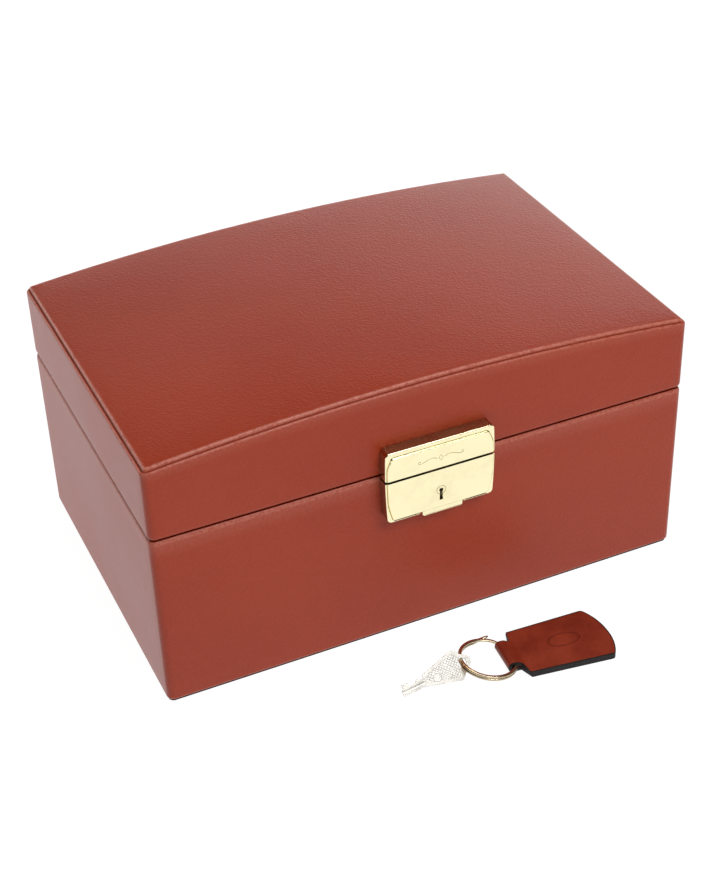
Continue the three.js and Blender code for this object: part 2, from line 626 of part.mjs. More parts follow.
function addKey() {
  const bladeLow = -2.5;
  const shape = new THREE.Shape();
  shape.moveTo(-11.5, bladeLow);
  shape.lineTo(0, bladeLow);
  shape.lineTo(0, -2.8);
  shape.lineTo(16.35, -7.16);
  shape.lineTo(18.4, -5.2);
  shape.lineTo(23, -1.1);
  shape.lineTo(23, 1.1);
  shape.lineTo(18.4, 5.2);
  shape.lineTo(16.35, 7.16);
  shape.lineTo(0, 2.8);
  shape.lineTo(-0.3, 1.2);
  shape.lineTo(-1.7, 1);
  shape.lineTo(-2.6, 1.9);
  shape.lineTo(-3.6, 1.9);
  shape.lineTo(-4.8, 0.6);
  shape.lineTo(-7.3, 0.5);
  shape.lineTo(-8, 2.6);
  shape.lineTo(-10.7, 2.6);
  shape.lineTo(-10.9, 0.4);
  shape.lineTo(-11.5, 0);
  const hole = new THREE.Path();
  hole.absarc(...KEY_HOLE, 0, Math.PI * 2);
  shape.holes.push(hole);
  const key = add('key', slab(shape, 0, KEY_THICK, 12), 'nickel');
  const degrees = Math.PI / 180;
  key.rotation.set(KEY_LEAN * degrees, -KEY_PITCH * degrees, KEY_YAW * degrees, 'XYZ');
  key.position.set(...KEY_ORIGIN);
}

function addSplitRing() {
  const halfWire = RING_WIRE / 2;
  const halfStack = RING_STACK / 2;
  const soft = 0.35;
  const profile = [
    [RING_R - halfWire, -halfStack + soft],
    [RING_R - halfWire + soft, -halfStack],
    [RING_R + halfWire - soft, -halfStack],
    [RING_R + halfWire, -halfStack + soft],
    [RING_R + halfWire, halfStack - soft],
    [RING_R + halfWire - soft, halfStack],
    [RING_R - halfWire + soft, halfStack],
    [RING_R - halfWire, halfStack - soft],
    [RING_R - halfWire, -halfStack + soft],
  ].map(([r, z]) => new THREE.Vector2(r, z));
  const geometry = new THREE.LatheGeometry(profile, 48).rotateX(Math.PI / 2);
  const ring = add('split_ring', geometry, 'ring');
  const up = new THREE.Vector3(0, 0, 1);
  ring.quaternion.setFromUnitVectors(up, new THREE.Vector3(...RING_NORMAL).normalize());
  ring.position.set(...RING_CENTRE);
}

// Two layers of leather, folded around the ring at the neck
function addFob() {
  const plan = new THREE.Shape();
  plan.moveTo(0.4, -13.9);
  plan.lineTo(40.4, -16.1);
  plan.quadraticCurveTo(41.3, -16.1, 41.7, -15.2);
  plan.quadraticCurveTo(44.4, -9, 44.9, 0);
  plan.quadraticCurveTo(43.6, 9, 40, 16);
  plan.quadraticCurveTo(39.6, 16.7, 38.6, 16.5);
  plan.lineTo(0.2, 14.8);
  const body = slab(plan, 0, FOB_THICK, 5);
  const profile = new THREE.Shape();
  profile.moveTo(2.5, 0);
  profile.lineTo(2.5, FOB_THICK);
  profile.lineTo(0.4, FOB_LOOP);
  profile.absarc(FOB_FOLD + FOB_LOOP / 2, FOB_LOOP / 2, FOB_LOOP / 2, Math.PI / 2, Math.PI * 1.5);
  const channel = new THREE.Path();
  const channelR = FOB_LOOP / 2 - FOB_WALL;
  channel.moveTo(0.2, FOB_WALL);
  channel.lineTo(0.2, FOB_LOOP - FOB_WALL);
  channel.absarc(FOB_FOLD + FOB_LOOP / 2, FOB_LOOP / 2, channelR, Math.PI / 2, Math.PI * 1.5);
  profile.holes.push(channel);
  const [low, high] = FOB_NECK;
  const settings = { depth: high - low, bevelEnabled: false, curveSegments: 8 };
  const loop = new THREE.ExtrudeGeometry(profile, settings);
  loop.rotateX(Math.PI / 2).translate(0, high, 0);
  const fob = add('fob', join(body, loop), 'fob');
  fob.rotation.z = (FOB_TURN * Math.PI) / 180;
  fob.position.set(...FOB_ORIGIN);
}

addBase();
addLid();
addHinges();
addTray();
addLockCase();
addHasp();
addReleaseSlider();
addSliderSpring();
addKeyCam();
addLockBolt();
addLockScrews();
addKey();
addSplitRing();
addFob();

export default caseGroup;
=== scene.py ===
"""Looks of the leather jewellery case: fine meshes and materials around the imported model."""

import json
import math

import bmesh
import bpy
from mathutils import Matrix, Vector


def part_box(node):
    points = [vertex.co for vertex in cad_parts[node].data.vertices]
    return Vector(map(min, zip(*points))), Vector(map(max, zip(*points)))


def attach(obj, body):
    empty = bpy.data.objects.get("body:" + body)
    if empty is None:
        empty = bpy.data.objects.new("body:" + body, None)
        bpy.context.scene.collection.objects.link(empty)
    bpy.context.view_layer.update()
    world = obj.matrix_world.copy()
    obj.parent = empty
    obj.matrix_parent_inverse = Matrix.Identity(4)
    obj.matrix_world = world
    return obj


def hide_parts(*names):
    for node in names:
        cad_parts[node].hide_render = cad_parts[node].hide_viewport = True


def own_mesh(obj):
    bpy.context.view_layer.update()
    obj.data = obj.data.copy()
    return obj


MM = 0.001

# The camera, in case widths and degrees
CAMERA_PLACE = (-1.0674, -2.4918, 2.0610)
CAMERA_AZIMUTH = -23.34
CAMERA_ELEVATION = 34.665
CAMERA_ROLL = -2.19
CAMERA_LENS = 71.88

# Light: the glow of the walls and the ceiling, then each soft box's place, size in m and power in W
WALL_GLOW = 1.0
CEILING_GLOW = 0.2
WALL_TOP = 0.3
WALL_FADE = 0.18
FLOOR_HALF = 4.0
FLOOR_DROP = 0.2 * MM
SOFT_BOXES = (
    ("key_light", (0.0, -0.65, 0.75), (0.4, 0.4), 1.6),
    ("front_light", (0.3, -0.73, 0.94), (0.5, 0.3), 4.5),
    ("rim_light", (-0.86, 1.13, 0.5), (0.6, 0.4), 4.5),
    ("back_light", (0.5, 1.25, 0.38), (1.3, 0.3), 5.2),
    ("top_light", (0.0, -0.05, 1.6), (1.1, 1.1), 9.7),
)

# Leather and edges
CASE_LIGHT = (0.36, 0.043, 0.014)
CASE_DARK = (0.31, 0.032, 0.01)
# Pale edge colour: wear and a painted highlight on the rounded edges.
CASE_WORN_HIGHLIGHT = (0.52, 0.17, 0.12)
ARCH_SHARE = 0.0265  # rise of the lid's arch as a share of the width
CORNER_R = 3.4 * MM
MOUTH = (1.3 * MM, 2.3 * MM)  # how far the leather rounds in and up at the mouth of the case
LIP = (0.9 * MM, 1.1 * MM)  # the same at the top of the lid's walls
LIP_DROP = 0.5 * MM  # the walls end this far below the arch
FOOT = (1.3 * MM, 1.7 * MM)  # and at the bottom edge
SKIN = 1.1 * MM
GROOVE_INSET = 1.4 * MM
PANEL_STAND = 1.15 * MM
PANEL_ROLL = (1.3 * MM, 1.9 * MM)
PANEL_CROWN = 0.25 * MM
PANEL_SLOPE = 30 * MM  # the panel rises to its crown over this distance from its edge

# Lock
LOCK_SWELL = 0.85 * MM
LOCK_CORNER_R = 2.2 * MM
SHELL = 1.1 * MM
SPLIT_GAP = 0.3 * MM  # from the parting to the edge of each half
PANEL_PROUD = 0.3 * MM  # the raised panel stands this far out of the lock's face
RIM_DROP = 0.15 * MM
PANEL_CORNER_INSET = 3.3 * MM
PANEL_TOP_INSET = 2.7 * MM
PANEL_FOOT_INSET = 1.15 * MM
KEYHOLE_R = 1.0 * MM
KEYHOLE_SLOT = 0.85 * MM
KEYHOLE_DROP = 5.3 * MM
KEYHOLE_RING_R = 2.2 * MM
ENGRAVED_R = 0.1 * MM  # half the width of an engraved line
STRIKER_SLOT_HALF = 9.4 * MM
TAB_REACH = (8.8 * MM, 11.3 * MM)  # how far the tab reaches left and right of the lock's middle
TAB_TRAVEL = 1.3 * MM
TAB_GAP = 0.12 * MM

# Key set
HATCH_PITCH = 1.15 * MM
DIMPLE_CENTRE = (5.9 * MM, -1.0 * MM, 1.1 * MM)
DIMPLE_R = 1.9 * MM
KEY_EULER = (50, -4, 6.9)
RING_NORMAL = (0.173, -0.02, 1)
RING_R = 13 * MM
RING_WIRE = (0.85 * MM, 0.6 * MM)  # half width and half height
RING_START = 63
RING_SWEEP = 690
RING_PITCH = 1.28 * MM
RING_LOOSE = (1.9 * MM, 2.1 * MM)  # how far the free end stands out and up
KEY_THICK = 1.1 * MM
FOB_TURN = -5.3
FOB_THICK = 3.2 * MM
FOB_LAYER = 1.62 * MM
FOB_LOOP = 5.4 * MM  # height of the fold round the ring
FOB_FOLD = -7.4 * MM
FOB_NECK = (7.8 * MM, 8.2 * MM)  # half widths towards the front and towards the case
FOB_SHOULDER = (13.9 * MM, 14.8 * MM)
FOB_SHOULDER_AT = 0.2 * MM
FOB_CORNER = ((41.5 * MM, 16.1 * MM), (39.5 * MM, 16.5 * MM))
FOB_REACH = 44.9 * MM
FOB_ROUND = 1.1 * MM
FOB_PAINTED = 0.55 * MM  # width of the painted edge
OVAL_CENTRE = (23.5 * MM, 1.2 * MM)
OVAL_R = 7.5 * MM
OVAL_SQUEEZE = 1.875

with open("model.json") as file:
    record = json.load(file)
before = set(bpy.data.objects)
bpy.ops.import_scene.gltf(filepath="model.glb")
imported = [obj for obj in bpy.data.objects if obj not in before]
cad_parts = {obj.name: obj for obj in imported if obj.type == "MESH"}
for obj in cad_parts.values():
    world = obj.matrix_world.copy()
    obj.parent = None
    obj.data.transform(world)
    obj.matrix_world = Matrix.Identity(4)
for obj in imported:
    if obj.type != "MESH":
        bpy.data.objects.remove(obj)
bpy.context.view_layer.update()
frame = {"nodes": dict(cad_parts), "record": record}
record = frame["record"]
scene = bpy.context.scene

body_of = {n: body for body, nodes in record["behaviour"]["bodies"].items() for n in nodes}
slot_of = {s["node"]: s["material_slot"] for s in record["subparts"]}

base_low, base_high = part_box("base_leather")
lid_low, lid_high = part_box("lid_leather")
HALF_W = base_high.x
HALF_D = base_high.y
WIDTH = 2 * HALF_W
BASE_TOP = base_high.z
LID_BOTTOM = lid_low.z
PARTING = (BASE_TOP + LID_BOTTOM) / 2
ARCH_RISE = ARCH_SHARE * WIDTH
ARCH_R = (HALF_W**2 + ARCH_RISE**2) / (2 * ARCH_RISE)
RIM_INSET = HALF_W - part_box("base_floor_pad")[1].x - 0.1 * MM  # from the wall to the lining


def arch(x):
    """Height of the lid walls' top over x."""
    return lid_high.z - ARCH_R + math.sqrt(ARCH_R**2 - x * x)


# Meshes


def mesh_object(name, points, faces, smooth=True):
    mesh = bpy.data.meshes.new(name)
    mesh.from_pydata([tuple(p) for p in points], [], faces)
    mesh.validate()
    clean(mesh)
    if smooth:
        smooth_faces(mesh)
    return new_object(name, mesh)


def new_object(name, data):
    obj = bpy.data.objects.new(name, data)
    scene.collection.objects.link(obj)
    return obj


def smooth_faces(mesh):
    mesh.polygons.foreach_set("use_smooth", [True] * len(mesh.polygons))


def clean(mesh, merge=None):
    """Turns every face outwards. With a merge distance it also joins points and flat faces."""
    bm = bmesh.new()
    bm.from_mesh(mesh)
    if merge is not None:
        bmesh.ops.remove_doubles(bm, verts=bm.verts, dist=merge)
        bmesh.ops.dissolve_limit(bm, angle_limit=math.radians(1), verts=bm.verts, edges=bm.edges)
    bmesh.ops.recalc_face_normals(bm, faces=bm.faces)
    bm.to_mesh(mesh)
    bm.free()


def circle(steps):
    """The cosine and sine of evenly spaced angles."""
    return [(math.cos(2 * math.pi * k / steps), math.sin(2 * math.pi * k / steps)) for k in range(steps)]


def blunt(value, power):
    """A power that keeps the sign, which turns a circle into a rounded square."""
    return math.copysign(abs(value) ** power, value)


def turned(*steps):
    """A rotation made of steps of degrees and axis, where the last step comes first."""
    turn = Matrix.Identity(4)
    for degrees, axis in steps:
        turn = turn @ Matrix.Rotation(math.radians(degrees), 4, axis)
    return turn


def smooth_step(value, low, high):
    share = min(max((value - low) / (high - low), 0), 1)
    return share * share * (3 - 2 * share)


def loft(name, loops, cap_start=False, cap_end=False, ring=False, smooth=True):
    """A skin through loops of equally many points. ring joins the last loop to the first."""
    count = len(loops[0])
    rows = len(loops)
    faces = []
    for i in range(rows if ring else rows - 1):
        a = i * count
        b = ((i + 1) % rows) * count
        for k in range(count):
            n = (k + 1) % count
            faces.append((a + k, a + n, b + n, b + k))
    if cap_start:
        faces.append(tuple(range(count - 1, -1, -1)))
    if cap_end:
        faces.append(tuple((rows - 1) * count + k for k in range(count)))
    return mesh_object(name, [p for loop in loops for p in loop], faces, smooth)


def wear_and_painted_light(obj, loops, amounts):
    """Marks each loop of a lofted piece for the leather: 1 is a pale edge from wear with a painted highlight,
    and -1 is painted shade, for loops in the grooves and inside the mouth.
    """
    layer = obj.data.attributes.new("wear_and_painted_light", "FLOAT", "POINT")
    values = [amount for loop, amount in zip(loops, amounts) for _ in loop]
    layer.data.foreach_set("value", values)


def hump(start, end, count):
    """Amounts that rise from 0 to 1 at the loops from start to end, and fall again."""
    amounts = []
    for k in range(count):
        share = (k - start) / (end - start)
        amounts.append(max(0.0, math.sin(math.pi * min(max(share, 0.0), 1.0))))
    return amounts


def rounded_loop(half_x, half_y, radius, per_x=48, per_y=24, per_corner=8):
    """Points (x, y) round a rounded rectangle."""
    radius = min(radius, half_x * 0.999, half_y * 0.999)
    corners = [(1, -1, -90), (1, 1, 0), (-1, 1, 90), (-1, -1, 180)]
    counts = [per_x, per_y, per_x, per_y]
    points = []
    for index, (sx, sy, start) in enumerate(corners):
        centre = Vector((sx * (half_x - radius), sy * (half_y - radius)))
        previous = corners[index - 1]
        begin = Vector((previous[0] * (half_x - radius), previous[1] * (half_y - radius)))
        turn = math.radians(start)
        out = Vector((math.cos(turn), math.sin(turn))) * radius
        steps = counts[index]
        for k in range(1, steps):
            points.append((begin + (centre - begin) * k / steps) + out)
        for k in range(per_corner + 1):
            angle = turn + math.radians(90) * k / per_corner
            points.append(centre + Vector((math.cos(angle), math.sin(angle))) * radius)
    return [(p.x, p.y) for p in points]


def case_loop(inset, height, corner=CORNER_R):
    """A loop round the case at an inset from its walls; height is a number or a function of x."""
    radius = max(corner - inset, 0.25 * MM)
    plan = rounded_loop(HALF_W - inset, HALF_D - inset, radius)
    return [Vector((x, y, height(x) if callable(height) else height)) for x, y in plan]


def arc(centre, radii, start, end, steps):
    """Points (inset, height) on an arc of an ellipse, with angles in degrees."""
    points = []
    for k in range(steps + 1):
        angle = math.radians(start + (end - start) * k / steps)
        points.append((centre[0] + radii[0] * math.cos(angle), centre[1] + radii[1] * math.sin(angle)))
    return points


def evaluated_mesh(obj):
    graph = bpy.context.evaluated_depsgraph_get()
    return bpy.data.meshes.new_from_object(obj.evaluated_get(graph))


def apply_modifiers(obj):
    mesh = evaluated_mesh(obj)
    obj.modifiers.clear()
    obj.data = mesh


def bevel(obj, width, segments=2, angle=30):
    modifier = obj.modifiers.new("bevel", "BEVEL")
    modifier.width = width
    modifier.segments = segments
    modifier.limit_method = "ANGLE"
    modifier.angle_limit = math.radians(angle)
    apply_modifiers(obj)


def even_normals(obj, degrees=45):
    """Lets the large flat faces set the shading, so that only the rounded edges turn the light."""
    sharp_by_angle(obj, degrees)
    modifier = obj.modifiers.new("weigh", "WEIGHTED_NORMAL")
    modifier.keep_sharp = True
    modifier.weight = 100
    apply_modifiers(obj)


def sharp_by_angle(obj, degrees):
    smooth_faces(obj.data)
    obj.data.set_sharp_from_angle(angle=math.radians(degrees))


def cut_with(obj, tool):
    modifier = obj.modifiers.new("cut", "BOOLEAN")
    modifier.operation = "DIFFERENCE"
    modifier.solver = "EXACT"
    modifier.object = tool
    apply_modifiers(obj)
    bpy.data.objects.remove(tool)


def block(name, low, high):
    """A closed box used as a cutting tool or as the start of a shaped piece."""
    (x0, y0, z0), (x1, y1, z1) = low, high
    loops = []
    for z in (z0, z1):
        loops.append([Vector((x0, y0, z)), Vector((x1, y0, z)), Vector((x1, y1, z)), Vector((x0, y1, z))])
    return loft(name, loops, cap_start=True, cap_end=True, smooth=False)


def place(obj, node=None, body=None, slot=None, material=None, painted=False):
    """Paints the piece, rides it on a body, and lets it stand for a CAD node."""
    slot = slot or slot_of[node]
    if not painted:
        obj.data.materials.clear()
        obj.data.materials.append(material or finishes[slot])
    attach(obj, body or body_of[node])
    if node is not None:
        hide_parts(node)


def soften(node, width, segments=2, material=None):
    """A copy of a CAD node with its sharp edges rounded, which stands for the node."""
    obj = new_object(f"{node}_fine", frame["nodes"][node].data.copy())
    clean(obj.data, 1e-6)
    bevel(obj, width, segments)
    even_normals(obj)
    place(obj, node, material=material)
    return obj


# Materials


class Finish:
    """A material built from nodes in the piece's own coordinates, in metres."""

    def __init__(self, name, colour, roughness, metallic=0.0, **sockets):
        self.material = bpy.data.materials.new(name)
        self.material.use_nodes = True
        self.tree = self.material.node_tree
        self.shader = self.tree.nodes["Principled BSDF"]
        self.shader.inputs["Base Color"].default_value = (*colour, 1)
        self.shader.inputs["Roughness"].default_value = roughness
        self.shader.inputs["Metallic"].default_value = metallic
        for socket, value in sockets.items():
            self.shader.inputs[socket.replace("_", " ")].default_value = value
        self.coordinates = self.tree.nodes.new("ShaderNodeTexCoord").outputs["Object"]

    def node(self, kind, inputs=(), **settings):
        made = self.tree.nodes.new(kind)
        for key, value in settings.items():
            setattr(made, key, value)
        for key, value in dict(inputs).items():
            self.feed(value, made.inputs[key])
        return made

    def feed(self, value, socket):
        if isinstance(value, bpy.types.NodeSocket):
            self.tree.links.new(value, socket)
        else:
            socket.default_value = value

    def stretched(self, scale):
        made = self.node("ShaderNodeMapping", {"Vector": self.coordinates, "Scale": scale})
        return made.outputs["Vector"]

    def noise(self, scale, detail=2.0, rough=0.5, twist=0.0, vector=None):
        inputs = {"Vector": vector or self.coordinates, "Scale": scale, "Detail": detail}
        inputs["Roughness"] = rough
        inputs["Distortion"] = twist
        return self.node("ShaderNodeTexNoise", inputs).outputs["Fac"]

    def cells(self, scale, feature="F1", vector=None):
        inputs = {"Vector": vector or self.coordinates, "Scale": scale}
        return self.node("ShaderNodeTexVoronoi", inputs, feature=feature).outputs["Distance"]

    def spread(self, value, low, high, to_low=0.0, to_high=1.0):
        inputs = {"Value": value, 1: low, 2: high, 3: to_low, 4: to_high}
        return self.node("ShaderNodeMapRange", inputs, interpolation_type="SMOOTHSTEP").outputs["Result"]

    def maths(self, operation, a, b=0.0):
        return self.node("ShaderNodeMath", {0: a, 1: b}, operation=operation).outputs["Value"]

    def add(self, a, b):
        return self.maths("ADD", a, b)

    def times(self, a, b):
        return self.maths("MULTIPLY", a, b)

    def minus(self, a, b):
        return self.maths("SUBTRACT", a, b)

    def size(self, a):
        return self.maths("ABSOLUTE", a)

    def larger(self, a, b):
        return self.maths("MAXIMUM", a, b)

    def blend(self, factor, a, b):
        made = self.node("ShaderNodeMix", data_type="RGBA")
        self.feed(factor, made.inputs[0])
        for value, socket in ((a, made.inputs[6]), (b, made.inputs[7])):
            self.feed(value if isinstance(value, bpy.types.NodeSocket) else (*value, 1), socket)
        return made.outputs[2]

    def bump(self, height, distance, strength=1.0, normal=None):
        inputs = {"Height": height, "Distance": distance, "Strength": strength}
        if normal is not None:
            inputs["Normal"] = normal
        return self.node("ShaderNodeBump", inputs).outputs["Normal"]

    def colour(self, value):
        self.feed(value, self.shader.inputs["Base Color"])

    def rough(self, value):
        self.feed(value, self.shader.inputs["Roughness"])

    def normal(self, value):
        self.feed(value, self.shader.inputs["Normal"])


def leather(name, light, dark, worn_highlight, roughness=0.31, grain=1000, depth=0.12 * MM):
    """Smooth aniline leather: mottled dye, a fine pebble grain, painted shade in the grooves and inside the
    mouth, and pale edges from wear that also carry a painted highlight.
    """
    made = Finish(name, light, roughness, Specular_IOR_Level=0.25)
    warped = made.noise(grain * 0.5, 3)
    pebble = made.cells(grain, "SMOOTH_F1")
    pores = made.spread(made.noise(grain * 1.7, 2, 0.6), 0.35, 0.7)
    height = made.add(made.times(pebble, 0.9), made.times(warped, 0.7))
    height = made.add(height, made.times(pores, 0.25))
    slow = made.noise(9, 3, 0.55)
    fine = made.noise(120, 4, 0.6)
    mottle = made.spread(made.add(made.times(fine, 0.2), slow), 0.3, 0.9)
    dyed = made.blend(mottle, dark, light)
    crease = made.spread(pebble, 0.15, 0.75, 0.0, 0.3)
    dyed = made.blend(crease, dyed, [c * 1.15 for c in light])
    # Per-point mark: positive values are wear plus a painted highlight on the rounded edges, negative values
    # are painted shade.
    wear_and_light = made.node("ShaderNodeAttribute", attribute_name="wear_and_painted_light").outputs["Fac"]
    patchy = made.spread(made.noise(700, 3, 0.6), 0.3, 0.6, 0.35, 1.0)
    # Pale edges: wear and a painted highlight, patchy across the edge.
    patchy_wear_highlight = made.times(made.larger(wear_and_light, 0.0), patchy)
    dyed = made.blend(patchy_wear_highlight, dyed, worn_highlight)
    # Painted shade: groove loops and the leather inside the mouth are dyed far darker.
    groove_shade = [c * 0.4 for c in dark]
    made.colour(made.blend(made.spread(wear_and_light, -0.8, 0.0, 1.0, 0.0), dyed, groove_shade))
    made.rough(made.spread(slow, 0.25, 0.75, roughness - 0.02, roughness + 0.04))
    softly = made.bump(made.noise(24, 2), 0.6 * MM, 0.25)
    made.normal(made.bump(height, depth, 1.0, softly))
    return made.material


def painted_edge():
    made = Finish("black_edge_paint", (0.012, 0.009, 0.009), 0.5, Specular_IOR_Level=0.25)
    made.rough(made.spread(made.noise(700, 3), 0.3, 0.7, 0.45, 0.65))
    made.normal(made.bump(made.noise(900, 3), 0.04 * MM))
    return made.material


def suede():
    light, dark = (0.47, 0.32, 0.2), (0.33, 0.21, 0.12)
    made = Finish("suede", light, 0.95, Specular_IOR_Level=0.1, Sheen_Weight=0.5, Sheen_Roughness=0.5)
    nap = made.noise(2600, 4, 0.7)
    stroke = made.noise(1, 3, 0.6, vector=made.stretched((30, 90, 60)))
    shade = made.spread(made.add(made.times(nap, 0.45), stroke), 0.45, 1.0)
    made.colour(made.blend(shade, dark, light))
    made.normal(made.bump(nap, 0.12 * MM))
    return made.material


def bookcloth():
    made = Finish("bookcloth", (0.022, 0.01, 0.007), 0.85, Specular_IOR_Level=0.2)
    across = made.node("ShaderNodeTexWave", {"Vector": made.coordinates, "Scale": 500.0}, bands_direction="X")
    along = made.node("ShaderNodeTexWave", {"Vector": made.coordinates, "Scale": 500.0}, bands_direction="Y")
    weave = made.larger(across.outputs["Fac"], along.outputs["Fac"])
    made.colour(made.blend(made.noise(260, 3), (0.014, 0.006, 0.004), (0.035, 0.017, 0.012)))
    made.normal(made.bump(weave, 0.08 * MM))
    return made.material


def wood():
    made = Finish("board", (0.45, 0.28, 0.14), 0.75)
    rings = made.noise(1, 4, 0.6, 1.2, made.stretched((14, 260, 260)))
    made.colour(made.blend(rings, (0.3, 0.17, 0.08), (0.52, 0.35, 0.19)))
    made.normal(made.bump(rings, 0.1 * MM))
    return made.material


def metal(name, bright, darkening, roughness, scratch=0.004 * MM):
    """Plated or polished metal with faint wiping marks, and duller in the hollows."""
    made = Finish(name, bright, roughness, 1.0)
    wiping = made.noise(1, 3, 0.65, vector=made.stretched((160, 160, 2400)))
    film = made.noise(60, 4, 0.6)
    hollow = made.node("ShaderNodeNewGeometry").outputs["Pointiness"]
    filmed = [0.85 * b + 0.15 * d for b, d in zip(bright, darkening)]
    tone = made.blend(made.spread(film, 0.35, 0.75), bright, filmed)
    made.colour(made.blend(made.spread(hollow, 0.36, 0.49, 0.75, 0.0), tone, darkening))
    made.rough(made.spread(made.add(film, made.times(wiping, 0.4)), 0.4, 1.0,
                           roughness * 0.8, roughness * 1.5))
    made.normal(made.bump(wiping, scratch))
    return made.material


def mirror_glass():
    made = Finish("mirror_glass", (0.9, 0.92, 0.93), 0.02, 1.0)
    made.rough(made.spread(made.noise(40, 3), 0.4, 0.8, 0.01, 0.04))
    return made.material


def stamped_nickel():
    """The key's nickel, with a cross-hatched field on the bow and a plain round dimple; the hatch troughs,
    the blade groove and the dimple's rim are coloured darker as painted shade.
    """
    bright, pale, dark = (0.92, 0.89, 0.83), (0.82, 0.79, 0.73), (0.24, 0.21, 0.17)
    made = Finish("stamped_nickel", (0.84, 0.8, 0.72), 0.3, 1.0)
    parts = made.node("ShaderNodeSeparateXYZ", {"Vector": made.coordinates}).outputs
    ridges = []
    for sign in (1, -1):
        slanted = made.add(parts["X"], made.times(parts["Y"], float(sign)))
        turns = made.times(slanted, 2 * math.pi / (HATCH_PITCH * math.sqrt(2)))
        ridges.append(made.maths("SINE", turns))
    hatch = made.maths("MINIMUM", ridges[0], ridges[1])
    in_bow = made.spread(parts["X"], 1.5 * MM, 1.9 * MM)
    slope = made.times(parts["X"], 0.267)
    side = made.minus(made.size(parts["Y"]), slope)
    inside = made.times(in_bow, made.spread(side, 1.4 * MM, 1.8 * MM, 1.0, 0.0))
    near_tip = made.times(parts["X"], 0.92)
    tip = made.add(made.size(parts["Y"]), near_tip)
    inside = made.times(inside, made.spread(tip, 20.2 * MM, 20.6 * MM, 1.0, 0.0))
    away = made.node("ShaderNodeVectorMath", {0: made.coordinates, 1: DIMPLE_CENTRE}, operation="DISTANCE")
    reach = away.outputs["Value"]
    field = made.times(inside, made.spread(reach, DIMPLE_R - 0.1 * MM, DIMPLE_R + 0.15 * MM))
    rim = made.spread(made.size(made.minus(reach, DIMPLE_R)), 0.0, 0.35 * MM, 1.0, 0.0)
    blade_line = made.spread(made.size(made.add(parts["Y"], 0.5 * MM)), 0.25 * MM, 0.55 * MM, 1.0, 0.0)
    groove = made.times(blade_line, made.spread(parts["X"], -0.6 * MM, 0.0, 1.0, 0.0))
    carved = made.times(hatch, field)
    height = made.add(made.times(carved, 0.6), rim)
    height = made.minus(height, groove)
    plain = made.blend(made.spread(made.noise(260, 3), 0.35, 0.7), pale, bright)
    # Painted shade towards the dark colour in the hatch troughs, the blade groove and along the dimple's rim.
    darkening = made.larger(made.times(groove, 0.3), made.spread(carved, -1.0, 0.1, 0.2, 0.0))
    darkening = made.larger(darkening, made.times(rim, 0.4))
    made.colour(made.blend(darkening, plain, dark))
    made.rough(made.spread(made.noise(300, 3), 0.3, 0.7, 0.34, 0.46))
    made.normal(made.bump(height, 0.02 * MM))
    return made.material


def fob_leather():
    """The fob's darker leather, with a plain debossed oval."""
    made = Finish("fob_leather", (0.16, 0.022, 0.01), 0.4, Specular_IOR_Level=0.3)
    fine = made.noise(900, 3, 0.6)
    slow = made.noise(70, 4, 0.6)
    made.colour(made.blend(made.spread(slow, 0.3, 0.75), (0.18, 0.02, 0.007), (0.28, 0.036, 0.013)))
    place_at = (-OVAL_CENTRE[0], -OVAL_CENTRE[1] * OVAL_SQUEEZE, 0)
    inputs = {"Vector": made.coordinates, "Location": place_at, "Scale": (1, OVAL_SQUEEZE, 0)}
    shifted = made.node("ShaderNodeMapping", inputs).outputs["Vector"]
    reach = made.node("ShaderNodeVectorMath", {0: shifted}, operation="LENGTH").outputs["Value"]
    line = made.size(made.minus(reach, OVAL_R))
    oval = made.spread(line, 0.25 * MM, 0.8 * MM)
    height = made.add(made.times(oval, 7.0), fine)
    made.rough(made.spread(slow, 0.3, 0.8, 0.36, 0.5))
    made.normal(made.bump(height, 0.09 * MM))
    return made.material


finishes = {
    "leather": leather("case_leather", CASE_LIGHT, CASE_DARK, CASE_WORN_HIGHLIGHT),
    "fob_leather": fob_leather(),
    "wood": wood(),
    "underside": bookcloth(),
    "suede": suede(),
    "brass": metal("polished_brass", (0.95, 0.87, 0.56), (0.34, 0.22, 0.08), 0.16),
    "steel": metal("zinc_steel", (0.62, 0.62, 0.6), (0.25, 0.25, 0.25), 0.3),
    "mirror": mirror_glass(),
    "nickel": stamped_nickel(),
    "ring_brass": metal("antique_brass", (0.62, 0.52, 0.36), (0.13, 0.09, 0.05), 0.22, 0.001 * MM),
}
edge_paint = painted_edge()
# Darker brass for the ornament lines and the recess round the lock's panel: painted shade of engraved and
# recessed lines.
engraved = metal("line_shade_brass", (0.33, 0.26, 0.11), (0.2, 0.14, 0.06), 0.35)
# Darker brass for the lock's side walls: painted shade.
side_brass_painted_shade = metal("side_brass_painted_shade", (0.5, 0.36, 0.2), (0.25, 0.16, 0.07), 0.25)


# Leather wraps

def turned_in(level, up):
    """The leather over the boards at the mouth; it folds back above level with up 1, below with -1."""
    rim = [(RIM_INSET - 3 * MM, level), (RIM_INSET - 0.6 * MM, level)]
    fold = 0.4 * MM
    rim += arc((RIM_INSET - 0.5 * MM, level + up * fold), (fold, fold), -80 * up, 0, 3)
    rim += [(RIM_INSET - 0.3 * MM, level + up * 0.5 * MM), (MOUTH[0] + 1 * MM, level + up * 0.52 * MM)]
    return rim


